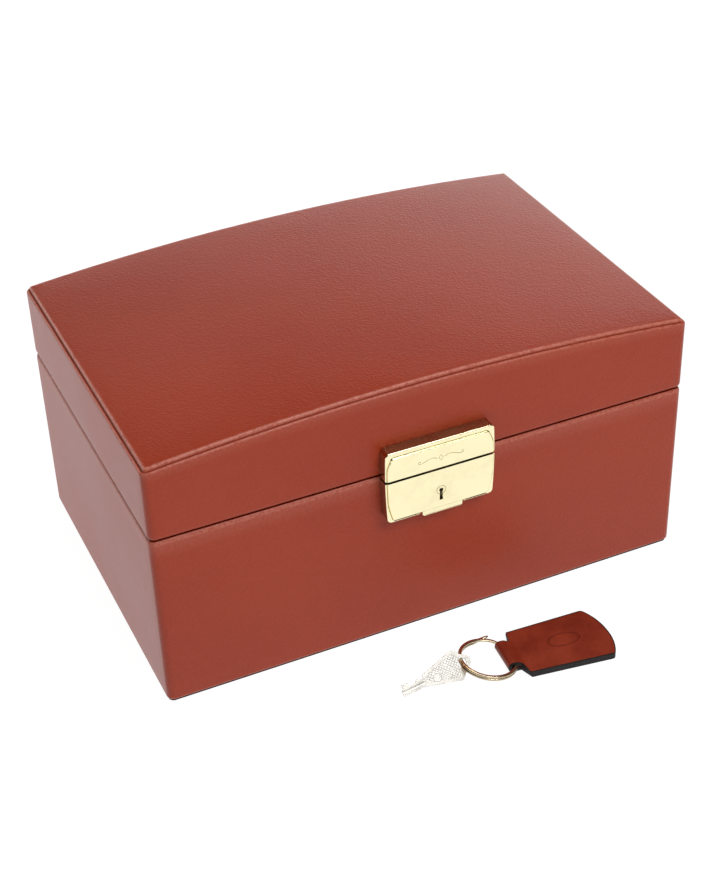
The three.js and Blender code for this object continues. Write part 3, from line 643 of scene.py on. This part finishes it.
def base_wrap():
    """Leather round the base, turned under at the bottom and over the boards at the mouth."""
    bottom = base_low.z
    top = BASE_TOP - 0.05 * MM
    foot_in, foot_up = FOOT
    mouth_in, mouth_up = MOUTH
    profile = [(4 * MM, bottom + 0.02 * MM)]
    profile += arc((foot_in, bottom + foot_up), FOOT, -90, -180, 7)
    wall = (bottom + foot_up, top - mouth_up)
    profile += [(0, wall[0] + (wall[1] - wall[0]) * k / 12) for k in range(1, 12)]
    profile += arc((mouth_in, top - mouth_up), MOUTH, 180, 90, 9)
    profile += turned_in(top, -1)
    profile += [(SKIN, top - mouth_up), (SKIN, bottom + foot_up)]
    loops = [case_loop(inset, z) for inset, z in profile]
    wrap = loft("base_wrap", loops, ring=True)
    # Pale foot and mouth edges are wear plus a painted highlight; loops from 28 on, at the parting and inside
    # the mouth, get painted shade.
    foot_wear_highlight = [0.6 * a for a in hump(0, 7, len(loops))]
    mouth_wear_highlight = [0.8 * a for a in hump(19, 28, len(loops))]
    amounts = [a + b for a, b in zip(foot_wear_highlight, mouth_wear_highlight)]
    wear_and_painted_light(wrap, loops, amounts[:28] + [-1] * (len(loops) - 28))
    place(wrap, "base_leather")


def lid_wrap():
    """Leather round the lid's walls, from the groove round the panel to the lining at the mouth."""
    lip_in, lip_up = LIP
    mouth_in, mouth_up = MOUTH
    bottom = LID_BOTTOM + 0.05 * MM
    top = [(GROOVE_INSET + 0.6 * MM, -3.2 * MM), (GROOVE_INSET, -3.1 * MM)]
    top += list(reversed(arc((lip_in, -LIP_DROP - lip_up), LIP, 180, 60, 9)))
    loops = [case_loop(i, lambda x, z=z: arch(x) + z) for i, z in top]
    wall_low = bottom + mouth_up
    for k in range(1, 8):
        share = k / 8
        loops.append(case_loop(0, lambda x, s=share: (arch(x) - LIP_DROP - lip_up) * (1 - s) + wall_low * s))
    rim = arc((mouth_in, wall_low), MOUTH, 180, 270, 9)
    rim += turned_in(bottom, 1)
    rim.append((SKIN, wall_low))
    loops += [case_loop(i, z) for i, z in rim]
    loops.append(case_loop(SKIN + 0.3 * MM, lambda x: arch(x) - LIP_DROP - lip_up - 1 * MM))
    wrap = loft("lid_wrap", loops, ring=True)
    # The wall's lip gets wear plus a painted highlight; the first groove loops and the loops from 28 on, at
    # the parting and inside the mouth, get painted shade.
    amounts = [0.7 * a for a in hump(2, 12, len(loops))]
    wear_and_painted_light(wrap, loops, [-1] * 3 + amounts[3:28] + [-1] * (len(loops) - 28))
    place(wrap, "lid_leather")


def bridge(obj, loop):
    """Closes a loop with strips from front to back, so that the arch runs straight through."""
    points = [v.co.copy() for v in obj.data.vertices]
    reach = max(points[i].x for i in loop) - 1e-7
    front = [i for i in loop if points[i].y < 0 and abs(points[i].x) < reach]
    front.sort(key=lambda i: points[i].x)
    back = []
    for i in front:
        twin = Vector((points[i].x, -points[i].y, points[i].z))
        back.append(min(loop, key=lambda j: (points[j] - twin).length))
    left = sorted((i for i in loop if points[i].x <= -reach), key=lambda i: points[i].y)
    right = sorted((i for i in loop if points[i].x >= reach), key=lambda i: -points[i].y)
    faces = [left + [back[0], front[0]], right + [front[-1], back[-1]]]
    for k in range(len(front) - 1):
        faces.append([front[k], front[k + 1], back[k + 1], back[k]])
    bm = bmesh.new()
    bm.from_mesh(obj.data)
    bm.verts.ensure_lookup_table()
    for face in faces:
        bm.faces.new([bm.verts[index] for index in face]).smooth = True
    bmesh.ops.recalc_face_normals(bm, faces=bm.faces)
    bm.to_mesh(obj.data)
    bm.free()


def lid_panel():
    """The padded leather panel on the arched top, with a rolled edge."""
    edge = GROOVE_INSET + 0.12 * MM
    roll_in, roll_up = PANEL_ROLL
    profile = [(edge + 3 * MM, -1.4 * MM), (edge + 0.9 * MM, -2.4 * MM), (edge + 0.3 * MM, -2.0 * MM)]
    profile += arc((edge + roll_in, PANEL_STAND - roll_up), PANEL_ROLL, 200, 90, 10)
    start = profile[-1][0]
    steps = 12
    for k in range(1, steps + 1):
        share = k / steps
        crown = PANEL_CROWN * math.sin(share * math.pi / 2)
        profile.append((start + (PANEL_SLOPE - start) * share**1.6, PANEL_STAND + crown))
    loops = [case_loop(i, lambda x, z=z: arch(x) + z, CORNER_R - 0.6 * MM) for i, z in profile]
    panel = loft("lid_panel_pad", loops)
    # The loops under the roll get painted groove shade; the rolled edge gets wear plus a painted highlight.
    wear_and_painted_light(panel, loops, [-1] * 5 + hump(5, 14, len(loops))[5:])
    around = len(loops[0])
    bridge(panel, range(around))
    bridge(panel, range(around * (len(loops) - 1), around * len(loops)))
    place(panel, "lid_panel")


def underside():
    """The dark cloth-covered plate under the case."""
    low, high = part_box("underside_sheet")
    inset = 0.95 * MM
    profile = [(inset + 0.3 * MM, low.z + 0.01 * MM), (inset, low.z + 0.25 * MM), (inset, high.z - 0.1 * MM)]
    profile += [(inset + 0.15 * MM, high.z), (inset + 6 * MM, high.z)]
    loops = [case_loop(i, z) for i, z in profile]
    plate = loft("underside_plate", loops, cap_start=True, cap_end=True)
    sharp_by_angle(plate, 40)
    place(plate, "underside_sheet")


# Lock

hasp_low, hasp_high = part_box("hasp_plate")
case_low, case_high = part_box("lock_case")
LOCK_X = (hasp_low.x + hasp_high.x) / 2
LOCK_HALF = (hasp_high.x - hasp_low.x) / 2 - LOCK_SWELL
FACE_Y = hasp_low.y
BACK_Y = hasp_high.y
KEYHOLE_Z = (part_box("key_cam")[0].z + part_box("key_cam")[1].z) / 2
TAB_LEFT = LOCK_X - TAB_REACH[0]
TAB_RIGHT = LOCK_X + TAB_REACH[1]


def lock_half(z):
    """Half width of the lock, whose sides swell towards the parting."""
    reach = max(hasp_high.z - PARTING, PARTING - case_low.z)
    return LOCK_HALF + LOCK_SWELL * (1 - ((z - PARTING) / reach) ** 2)


def panel_half(z, z_end):
    """Half width of the raised panel, whose sides curve in towards the end at z_end."""
    share = (z - PARTING) / (z_end - PARTING)
    return LOCK_HALF + LOCK_SWELL - 0.15 * MM - PANEL_CORNER_INSET * share * share


def lock_loop(z_split, z_end, half, radius, y, inset=0.0):
    """A loop round one half of the lock, from its split edge to its far edge, at a depth."""
    across, up, round_steps = 18, 14, 6
    toward = 1 if z_end > z_split else -1
    z0 = z_split + toward * SPLIT_GAP
    z1 = z_end - toward * inset
    radius = max(radius - inset, 0.3 * MM)
    small = 0.15 * MM

    def corner(z, r, side, begin, end):
        inward = -1 if z == z1 else 1
        centre_x = half(z + toward * inward * r) - inset - r
        centre_z = z + toward * inward * r
        points = []
        for k in range(round_steps + 1):
            angle = math.radians(begin + (end - begin) * k / round_steps)
            points.append((side * (centre_x + r * math.cos(angle)), centre_z + toward * r * math.sin(angle)))
        return points

    low = corner(z0, small, 1, -90, 0)
    high = corner(z1, radius, 1, 0, 90)
    side_z = [low[-1][1] + (high[0][1] - low[-1][1]) * k / up for k in range(1, up)]
    right = low + [(half(z) - inset, z) for z in side_z] + high
    left = [(-x, z) for x, z in reversed(right)]
    top = [(right[-1][0] + (left[0][0] - right[-1][0]) * k / across, z1) for k in range(1, across)]
    split = [(left[-1][0] + (right[0][0] - left[-1][0]) * k / across, z0) for k in range(1, across)]
    return [Vector((LOCK_X + x, y, z)) for x, z in right + top + left + split]


def lock_shell(name, z_split, z_end, panel_end):
    """A hollow stamped shell with a rounded rim and a raised panel with bowed sides."""
    rim_y = FACE_Y + RIM_DROP
    inner_y = FACE_Y + SHELL + 0.25 * MM
    toward = 1 if z_end > z_split else -1
    z_inner = z_split + toward * SHELL

    def wall(z, y, inset=0.0):
        return lock_loop(z, z_end, lock_half, LOCK_CORNER_R, y, inset)

    loops = [wall(z_inner, inner_y, SHELL), wall(z_inner, BACK_Y, SHELL)]
    loops += [wall(z_split, BACK_Y), wall(z_split, (BACK_Y + rim_y) / 2)]
    rounding = 0.5 * MM
    for inset, y in arc((rounding, rim_y + rounding), (rounding, rounding), 180, 268, 5):
        loops.append(wall(z_split, y, inset))

    proud = FACE_Y - PANEL_PROUD
    recess = rim_y + 0.2 * MM
    widest = abs(z_end - panel_end) - rounding - 0.1 * MM
    steps = [(0.95, rim_y), (0.3, recess), (0.05, recess), (-0.15, proud + 0.08 * MM), (-0.35, proud)]
    for index, (offset, y) in enumerate(steps):
        limit = rounding + 0.12 * MM * (index + 1)

        def half(z, offset=offset, limit=limit):
            return min(panel_half(z, panel_end) + offset * MM, lock_half(z) - limit)

        end = panel_end + toward * min(offset * MM, widest)
        loops.append(lock_loop(z_split, end, half, (1.2 + offset) * MM, y))
    return loft(name, loops, cap_start=True, cap_end=True)


def keyhole_tool():
    """A round hole with a slot under it."""
    points = []
    for k in range(19):
        angle = math.radians(-50 + 280 * k / 18)
        points.append((KEYHOLE_R * math.cos(angle), KEYHOLE_R * math.sin(angle)))
    points += [(-KEYHOLE_SLOT, -KEYHOLE_DROP), (KEYHOLE_SLOT, -KEYHOLE_DROP)]
    loops = []
    for y in (FACE_Y - 2 * MM, FACE_Y + 2.6 * MM):
        loops.append([Vector((LOCK_X + x, y, KEYHOLE_Z + z)) for x, z in points])
    return loft("keyhole_tool", loops, cap_start=True, cap_end=True, smooth=False)


def striker_slot(z0, z1):
    low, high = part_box("striker")
    start = (LOCK_X - STRIKER_SLOT_HALF, low.y - 0.3 * MM, z0)
    end = (LOCK_X + STRIKER_SLOT_HALF, high.y + 0.4 * MM, z1)
    return block("slot_tool", start, end)


def finish_plate(shell, node):
    """Places half of the lock. Its side walls take a rougher, darker brass whose darkness is painted shade,
    and the recess round its panel is darkened as painted shade.
    """
    even_normals(shell, 50)
    place(shell, node)
    shell.data.materials.append(side_brass_painted_shade)
    shell.data.materials.append(engraved)
    rim_y = FACE_Y + RIM_DROP
    # Painted shade: side-wall faces and the front-facing recess faces get the darker brasses.
    for face in shell.data.polygons:
        if face.center.y > rim_y + 0.45 * MM:
            face.material_index = 1
        elif face.center.y > rim_y + 0.15 * MM and face.normal.y < -0.7:
            face.material_index = 2


def lock_plates():
    hasp = lock_shell("hasp_face", hasp_low.z, hasp_high.z, hasp_high.z - PANEL_TOP_INSET)
    cut_with(hasp, striker_slot(hasp_low.z - 1 * MM, hasp_low.z + 2 * MM))
    finish_plate(hasp, "hasp_plate")
    case = lock_shell("lock_face", case_high.z, case_low.z, case_low.z + PANEL_FOOT_INSET)
    cut_with(case, striker_slot(case_high.z - 2 * MM, case_high.z + 1 * MM))
    start = (TAB_LEFT - TAB_TRAVEL - TAB_GAP, FACE_Y - 2 * MM, case_low.z - 1 * MM)
    end = (TAB_RIGHT + TAB_GAP, BACK_Y - 1.4 * MM, case_low.z + PANEL_FOOT_INSET)
    cut_with(case, block("notch_tool", start, end))
    cut_with(case, keyhole_tool())
    finish_plate(case, "lock_case")


def add_line(curve, points, closed=True):
    spline = curve.splines.new("POLY")
    spline.points.add(len(points) - 1)
    for point, place_at in zip(spline.points, points):
        point.co = (*place_at, 1)
    spline.use_cyclic_u = closed


def mesh_of(name, curve):
    """Turns a curve into an object of its own."""
    holder = new_object(name + "_curve", curve)
    mesh = evaluated_mesh(holder)
    bpy.data.objects.remove(holder)
    return new_object(name, mesh)


def wire(name, points, radius, closed=True, sides=6):
    """A thin round wire along points."""
    curve = bpy.data.curves.new(name, "CURVE")
    curve.dimensions = "3D"
    add_line(curve, points, closed)
    curve.bevel_depth = radius
    curve.bevel_resolution = sides // 2
    curve.use_fill_caps = True
    obj = mesh_of(name, curve)
    smooth_faces(obj.data)
    return obj


def lock_ornament():
    """A plain engraved lozenge between two scrolls on the hasp, and a ring round the keyhole."""
    face = FACE_Y - PANEL_PROUD
    centre = Vector((LOCK_X, face, hasp_low.z + 5.6 * MM))
    lozenge = [(0, 1.5), (1.1, 0), (0, -1.5), (-1.1, 0)]
    points = [centre + Vector((x, 0, z)) * MM for x, z in lozenge]
    made = [wire("hasp_lozenge", points, ENGRAVED_R)]
    for side, label in ((-1, "left"), (1, "right")):
        scroll = []
        for k in range(40):
            t = k / 39
            x = 1.9 + 8.4 * t
            z = 0.95 * math.sin(t * math.pi * 1.5) * (1 - 0.35 * t)
            scroll.append(centre + Vector((side * x, 0, z)) * MM)
        curl_centre = scroll[-1] + Vector((0, 0, 0.75 * MM))
        for k in range(1, 22):
            angle = -math.pi / 2 + 1.6 * math.pi * k / 21
            r = 0.75 * MM * (1 - 0.55 * k / 21)
            scroll.append(curl_centre + Vector((side * r * math.cos(angle), 0, r * math.sin(angle))))
        made.append(wire(f"hasp_scroll_{label}", scroll, ENGRAVED_R, closed=False))
    for piece in made:
        place(piece, body="lid", slot="brass", material=engraved)
    middle = Vector((LOCK_X, face, KEYHOLE_Z))
    points = [middle + Vector((c, 0, s)) * KEYHOLE_RING_R for c, s in circle(40)]
    ring = wire("keyhole_ring", points, ENGRAVED_R)
    place(ring, body="base", slot="brass", material=engraved)


def release_tab():
    """The rounded thumb tab in the notch under the lock, and the slider behind it."""
    low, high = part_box("release_slider")
    margin = 1 * MM
    top = case_low.z + PANEL_FOOT_INSET - TAB_GAP
    slider = soften("release_slider", 0.08 * MM, 1)
    corner = (high.x + margin, high.y + margin, top - 0.4 * MM)
    cut_with(slider, block("tab_tool", (low.x - margin, low.y - margin, low.z - margin), corner))
    tab = block("release_tab", (TAB_LEFT, FACE_Y + RIM_DROP, low.z), (TAB_RIGHT, high.y, top + 2 * margin))
    bevel(tab, 1.3 * MM, 6)
    far = (TAB_RIGHT + margin, high.y + margin, top + 3 * margin)
    cut_with(tab, block("top_tool", (TAB_LEFT - margin, low.y - margin, top), far))
    even_normals(tab, 60)
    place(tab, body="release", slot="brass")


def release_spring():
    """The spring behind the slider, copied from the CAD node; on the real case it shortens towards the lock's
    left wall as the tab is pushed.
    """
    obj = new_object("release_spring", frame["nodes"]["slider_spring"].data.copy())
    place(obj, "slider_spring")
    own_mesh(obj)


# Screws


def screw(node, axis):
    """A countersunk screw with a slotted head; its head looks along axis."""
    low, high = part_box(node)
    centre = (low + high) / 2
    index = 1 if abs(axis[1]) > 0.5 else 2
    sign = axis[index]
    length = high[index] - low[index]
    head = max(high[i] - low[i] for i in range(3) if i != index) / 2
    shank = head * 0.46
    profile = [(shank * 0.2, 0), (shank, 0.6 * MM), (shank, length - 0.9 * MM)]
    profile += [(head * 0.97, length - 0.3 * MM), (head, length - 0.12 * MM), (head * 0.94, length)]
    loops = [[Vector((r * c, r * s, z)) for c, s in circle(24)] for r, z in profile]
    obj = loft(f"{node}_fine", loops, cap_start=True, cap_end=True)
    slot = 0.28 * MM
    past = head * 1.2
    cut_with(obj, block("slot_tool", (-past, -slot, length - 0.4 * MM), (past, slot, length + 1 * MM)))
    sharp_by_angle(obj, 40)
    turn = Vector((0, 0, 1)).rotation_difference(Vector(axis)).to_matrix().to_4x4()
    spin = Matrix.Rotation(math.radians(25 + 40 * sum(map(ord, node)) % 140), 4, "Z")
    start = centre.copy()
    start[index] -= sign * length / 2
    obj.data.transform(Matrix.Translation(start) @ turn @ spin)
    place(obj, node)


def all_screws():
    """The base leaves' screws look up, the lid leaves' screws look down, and the lock's look inwards."""
    for node in frame["nodes"]:
        if "_screw_" in node:
            axis = (0, 1, 0)
            if node.startswith("hinge"):
                axis = (0, 0, 1 if "base" in node else -1)
            screw(node, axis)


# Interior


def floor_pad():
    """The flat cushion on the floor, crowned in the middle and pulled in round its edge."""
    low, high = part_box("base_floor_pad")
    half_x = high.x - 0.2 * MM
    half_y = high.y - 0.2 * MM
    z_high = high.z - 0.8 * MM
    crown = 0.7 * MM
    thickness = z_high - low.z
    rows = [(0.6 * MM, low.z), (0, low.z + thickness * 0.35)]
    rounding = thickness * 0.45
    rows += arc((rounding, z_high - rounding), (rounding, rounding), 180, 90, 6)
    inner = half_y - 1 * MM
    start = rows[-1][0]
    for k in range(1, 12):
        share = k / 11
        rows.append((start + (inner - start) * share, z_high + crown * math.sin(share * math.pi / 2) ** 0.8))
    loops = []
    for inset, z in rows:
        plan = rounded_loop(half_x - inset, half_y - inset, max(2 * MM - inset, 0.4 * MM), 20, 14, 5)
        loops.append([Vector((x, y, z)) for x, y in plan])
    obj = loft("floor_cushion", loops, cap_start=True, cap_end=True)
    place(obj, "base_floor_pad")


def ring_rolls():
    """Padded rolls in the tray that hold rings upright between them."""
    low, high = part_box("tray_ring_bank")
    count = 6
    pitch = (high.y - low.y) / count
    half = pitch / 2 - 0.12 * MM
    height = high.z - low.z
    points = []
    faces = []
    around = 20
    ends = [(0.0, 0.35), (0.25, 0.7), (0.8, 0.9), (1.8, 1.0)]
    stations = [(low.x + d * MM, s) for d, s in ends]
    stations += [(low.x + 1.8 * MM + (high.x - low.x - 3.6 * MM) * k / 10, 1.0) for k in range(1, 10)]
    stations += [(high.x - d * MM, s) for d, s in reversed(ends)]
    for index in range(count):
        middle = low.y + pitch * (index + 0.5)
        first = len(points)
        for x, size in stations:
            for c, s in circle(around):
                y = half * blunt(c, 0.75) * size
                z = height / 2 * blunt(s, 0.85) * size
                points.append(Vector((x, middle + y, low.z + height / 2 + z)))
        last = len(points) - around
        for row in range(first, last, around):
            for k in range(around):
                a = row + k
                b = row + (k + 1) % around
                faces.append((a, b, b + around, a + around))
        faces.append(tuple(range(first, first + around)))
        faces.append(tuple(range(last, last + around)))
    obj = mesh_object("ring_rolls", points, faces)
    place(obj, "tray_ring_bank")


def ceiling_pad():
    """The lid's padded ceiling, puffed between the lining and the mirror set into it."""
    low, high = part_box("lid_ceiling_pad")
    glass_low, glass_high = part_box("mirror")
    outer = (high.x - 1.6 * MM, high.y - 1.6 * MM)
    frame_half = (glass_high.x + 0.6 * MM, glass_high.y + 0.6 * MM)
    rows = 16
    loops = []
    top_plan = rounded_loop(outer[0], outer[1], 1 * MM, 30, 20, 6)
    loops.append([Vector((x, y, arch(x) - 6.5 * MM)) for x, y in top_plan])
    for k in range(rows + 1):
        t = k / rows
        half_x = outer[0] + (frame_half[0] - outer[0]) * t
        half_y = outer[1] + (frame_half[1] - outer[1]) * t
        puff = 2.1 * MM * math.sin(math.pi * t) ** 0.55 if 0 < t < 1 else 0
        plan = rounded_loop(half_x, half_y, (1 + 5 * t) * MM, 30, 20, 6)
        loops.append([Vector((x, y, low.z + 0.6 * MM - puff)) for x, y in plan])
    obj = loft("ceiling_cushion", loops, cap_end=True)
    bridge(obj, range(len(top_plan)))
    place(obj, "lid_ceiling_pad")
    plan = rounded_loop(glass_high.x - 0.2 * MM, glass_high.y - 0.2 * MM, 5 * MM, 30, 20, 8)
    z = glass_low.z + 0.1 * MM
    bezel = wire("mirror_bezel", [(x, y, z) for x, y in plan], 0.9 * MM, sides=8)
    place(bezel, body="lid", slot="brass")


def interior():
    floor_pad()
    ring_rolls()
    ceiling_pad()
    for node in ("base_lining", "lid_lining"):
        soften(node, 0.3 * MM)
    for node in ("tray_rest_left", "tray_rest_right", "lower_divider", "tray_floor"):
        soften(node, 0.7 * MM, 3)
    for side in ("front", "back", "left", "right"):
        soften(f"tray_{side}_wall", 1.1 * MM, 4)
    for side in ("long", "left", "right"):
        soften(f"tray_divider_{side}", 0.9 * MM, 4, finishes["suede"])
    soften("mirror", 0.5 * MM)


# Key set


def settle(obj, node, turn):
    """Turns a piece made at the origin and puts its box where the CAD node's box is."""
    obj.matrix_world = turn
    bpy.context.view_layer.update()
    corners = [turn @ v.co for v in obj.data.vertices]
    low = Vector([min(c[i] for c in corners) for i in range(3)])
    high = Vector([max(c[i] for c in corners) for i in range(3)])
    want_low, want_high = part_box(node)
    shift = (want_low + want_high) / 2 - (low + high) / 2
    obj.matrix_world = Matrix.Translation(shift) @ turn


def flat_outline(name, outline, hole, thickness):
    """A flat stamping from an outline with one hole."""
    curve = bpy.data.curves.new(name, "CURVE")
    curve.dimensions = "2D"
    curve.fill_mode = "BOTH"
    for points in (outline, hole):
        add_line(curve, [(x * MM, y * MM, 0) for x, y in points])
    curve.extrude = thickness / 2
    obj = mesh_of(name, curve)
    clean(obj.data, 1e-7)
    obj.data.transform(Matrix.Translation((0, 0, thickness / 2)))
    return obj


def key():
    blade = [(-11.5, -2.5), (-0.4, -2.5), (0, -2.8)]
    bow = [(16.35, -7.16), (17.2, -6.6), (18.4, -5.2), (22.7, -1.5), (23, -1.1)]
    mirrored = [(x, -y) for x, y in reversed(bow)]
    bits = [(0, 2.8), (-0.3, 1.2), (-1.7, 1), (-2.6, 1.9), (-3.6, 1.9), (-4.8, 0.6), (-7.3, 0.5)]
    bits += [(-8, 2.6), (-10.7, 2.6), (-10.9, 0.4), (-11.5, 0)]
    hole = [(19 + 2.1 * c, 2.1 * s) for c, s in circle(28)]
    obj = flat_outline("stamped_key", blade + bow + mirrored + bits, hole, KEY_THICK)
    bevel(obj, 0.09 * MM, 2)
    even_normals(obj, 60)
    settle(obj, "key", turned(*zip(KEY_EULER, "XYZ")))
    place(obj, "key")


def split_ring():
    """Two coils of flattened wire that lie on each other, with the outer end standing off."""
    steps = 200
    loops = []
    for k in range(steps + 1):
        t = k / steps
        angle = math.radians(RING_START) + math.radians(RING_SWEEP) * t
        z = (smooth_step(t, 0.455, 0.515) - 0.5) * RING_PITCH
        loose = max(0.0, 1 - t / 0.05) ** 1.5
        taper = min(1.0, 0.55 + min(t, 1 - t) * 60)
        radius = RING_R + RING_LOOSE[0] * loose
        height = z + RING_LOOSE[1] * loose
        centre = Vector((radius * math.cos(angle), radius * math.sin(angle), height))
        outward = Vector((math.cos(angle), math.sin(angle), 0))
        loop = []
        for c, s in circle(12):
            across = RING_WIRE[0] * blunt(c, 0.7) * taper
            up = RING_WIRE[1] * blunt(s, 0.7) * taper
            loop.append(centre + outward * across + Vector((0, 0, up)))
        loops.append(loop)
    obj = loft("coiled_ring", loops, cap_start=True, cap_end=True)
    low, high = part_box("split_ring")
    turn = Vector((0, 0, 1)).rotation_difference(Vector(RING_NORMAL)).to_matrix().to_4x4()
    obj.matrix_world = Matrix.Translation((low + high) / 2) @ turn
    place(obj, "split_ring")


def fob_side(u, side):
    """Distance from the fob's axis to its edge: narrow at the neck, flared towards the far end."""
    body = FOB_SHOULDER[side] + (FOB_CORNER[side][1] - FOB_SHOULDER[side]) * u / FOB_CORNER[side][0]
    grown = smooth_step(u, FOB_SHOULDER_AT - 0.8 * MM, FOB_SHOULDER_AT + 0.7 * MM)
    return FOB_NECK[side] + (body - FOB_NECK[side]) * grown


def fob_end(t):
    """How far the fob reaches at a share t of its half width: a bowed end with rounded corners."""
    side = 1 if t > 0 else 0
    middle = (FOB_CORNER[0][0] + FOB_CORNER[1][0]) / 2
    edge = middle + (FOB_CORNER[side][0] - middle) * abs(t)
    half = FOB_CORNER[side][1]
    past = max(0.0, abs(t) * half - (half - FOB_ROUND))
    corner = FOB_ROUND - math.sqrt(max(FOB_ROUND**2 - past**2, 0))
    return edge + (FOB_REACH - middle) * (1 - abs(t) ** 2.2) - corner


def fob():
    """One strip of leather folded round the ring: two layers with black painted edges."""
    loop_r = FOB_LOOP / 2
    fold_x = FOB_FOLD + loop_r
    middle = FOB_LAYER / 2
    top_z = FOB_THICK - middle
    start = 1.6 * MM
    shares = [k / 20 for k in range(20)] + [1 - FOB_PAINTED / FOB_REACH, 1]
    path = [(share, None, middle) for share in reversed(shares)]
    path += [(None, u * MM, middle) for u in (-1, -2.5)]
    for k in range(1, 13):
        angle = math.radians(-90 - 180 * k / 13)
        path.append((None, fold_x + (loop_r - middle) * math.cos(angle),
                     loop_r + (loop_r - middle) * math.sin(angle)))
    highest = FOB_LOOP - middle
    for k in range(7):
        u = fold_x + 0.8 * MM + (0.9 * MM - fold_x - 0.8 * MM) * k / 6
        path.append((None, u, highest + (top_z - highest) * smooth_step(u, fold_x, 1.4 * MM)))
    path += [(share, None, top_z) for share in shares]
    across = [math.sin(math.pi / 2 * (-1 + 2 * j / 30)) for j in range(31)]
    rim_share = 1 - FOB_PAINTED / FOB_CORNER[0][1]
    across = sorted([t for t in across if abs(t) < rim_share - 0.01] + [-1, -rim_share, rim_share, 1]
                    + [-(1 + rim_share) / 2, (1 + rim_share) / 2])
    points = []
    for share, u_fixed, z in path:
        for t in across:
            u = u_fixed if share is None else start + (fob_end(t) - start) * share
            points.append(Vector((u, t * fob_side(u, 1 if t > 0 else 0), z)))
    faces = []
    edge_faces = []
    width = len(across)
    last = len(path) - 2
    for i in range(len(path) - 1):
        for j in range(width - 1):
            a = i * width + j
            if i in (0, last) or j in (0, 1, width - 3, width - 2):
                edge_faces.append(len(faces))
            faces.append((a, a + 1, a + width + 1, a + width))
    obj = mesh_object("fob_strip", points, faces)
    for index in edge_faces:
        obj.data.polygons[index].material_index = 1
    thick = obj.modifiers.new("layer", "SOLIDIFY")
    thick.thickness = FOB_LAYER
    thick.offset = 0
    thick.material_offset_rim = 1
    obj.data.materials.append(finishes["fob_leather"])
    obj.data.materials.append(edge_paint)
    apply_modifiers(obj)
    bevel(obj, 0.25 * MM, 3, 60)
    sharp_by_angle(obj, 60)
    settle(obj, "fob", turned((FOB_TURN, "Z")))
    place(obj, "fob", painted=True)


# Hardware that keeps its CAD shape


def hardware():
    for node in frame["nodes"]:
        if node.startswith(("hinge_base_leaf", "hinge_lid_leaf")):
            soften(node, 0.18 * MM)
        if node.startswith("hinge_pin") or node in ("striker", "key_cam", "lock_bolt"):
            soften(node, 0.12 * MM)
    for node, obj in frame["nodes"].items():
        obj.data.materials.clear()
        obj.data.materials.append(finishes[slot_of[node]])


# Studio


def studio():
    corners = [(x * FLOOR_HALF, y * FLOOR_HALF, 0) for x, y in ((-1, -1), (1, -1), (1, 1), (-1, 1))]
    floor = mesh_object("floor", corners, [(0, 1, 2, 3)])
    floor.location.z = -FLOOR_DROP
    paper = Finish("white_paper", (0.15, 0.15, 0.15), 0.9, Specular_IOR_Level=0.1,
                   Emission_Color=(1, 1, 1, 1), Emission_Strength=0.95)
    paper.colour(paper.blend(paper.noise(30, 3), (0.145, 0.145, 0.145), (0.155, 0.155, 0.155)))
    floor.data.materials.append(paper.material)
    world = bpy.data.worlds.new("studio")
    world.use_nodes = True
    nodes = world.node_tree.nodes
    links = world.node_tree.links
    direction = nodes.new("ShaderNodeTexCoord").outputs["Generated"]
    parts = nodes.new("ShaderNodeSeparateXYZ")
    links.new(direction, parts.inputs[0])
    fade = nodes.new("ShaderNodeMapRange")
    fade.interpolation_type = "SMOOTHSTEP"
    for socket, value in ((1, WALL_TOP), (2, WALL_TOP + WALL_FADE), (3, WALL_GLOW), (4, CEILING_GLOW)):
        fade.inputs[socket].default_value = value
    links.new(parts.outputs["Z"], fade.inputs["Value"])
    links.new(fade.outputs["Result"], nodes["Background"].inputs["Strength"])
    scene.world = world
    for name, place_at, size, power in SOFT_BOXES:
        soft_box(name, place_at, size, power)
    scene.view_settings.view_transform = "Standard"


def soft_box(name, place_at, size, power):
    light = bpy.data.lights.new(name, "AREA")
    light.shape = "RECTANGLE"
    light.size, light.size_y = size
    light.energy = power
    obj = new_object(name, light)
    obj.location = place_at
    aim = Vector((0, 0, 0.06)) - Vector(place_at)
    obj.rotation_euler = aim.to_track_quat("-Z", "Y").to_euler()


def camera():
    lens = bpy.data.cameras.new("camera")
    lens.lens = CAMERA_LENS
    lens.sensor_width = 36
    lens.clip_start = 0.01
    obj = new_object("camera", lens)
    turn = turned((CAMERA_AZIMUTH, "Z"), (90 - CAMERA_ELEVATION, "X"), (CAMERA_ROLL, "Z"))
    obj.matrix_world = Matrix.Translation(Vector(CAMERA_PLACE) * WIDTH) @ turn
    scene.camera = obj


camera()
studio()
base_wrap()
underside()
lid_wrap()
lid_panel()
lock_plates()
lock_ornament()
release_tab()
release_spring()
all_screws()
interior()
hardware()
key()
split_ring()
fob()
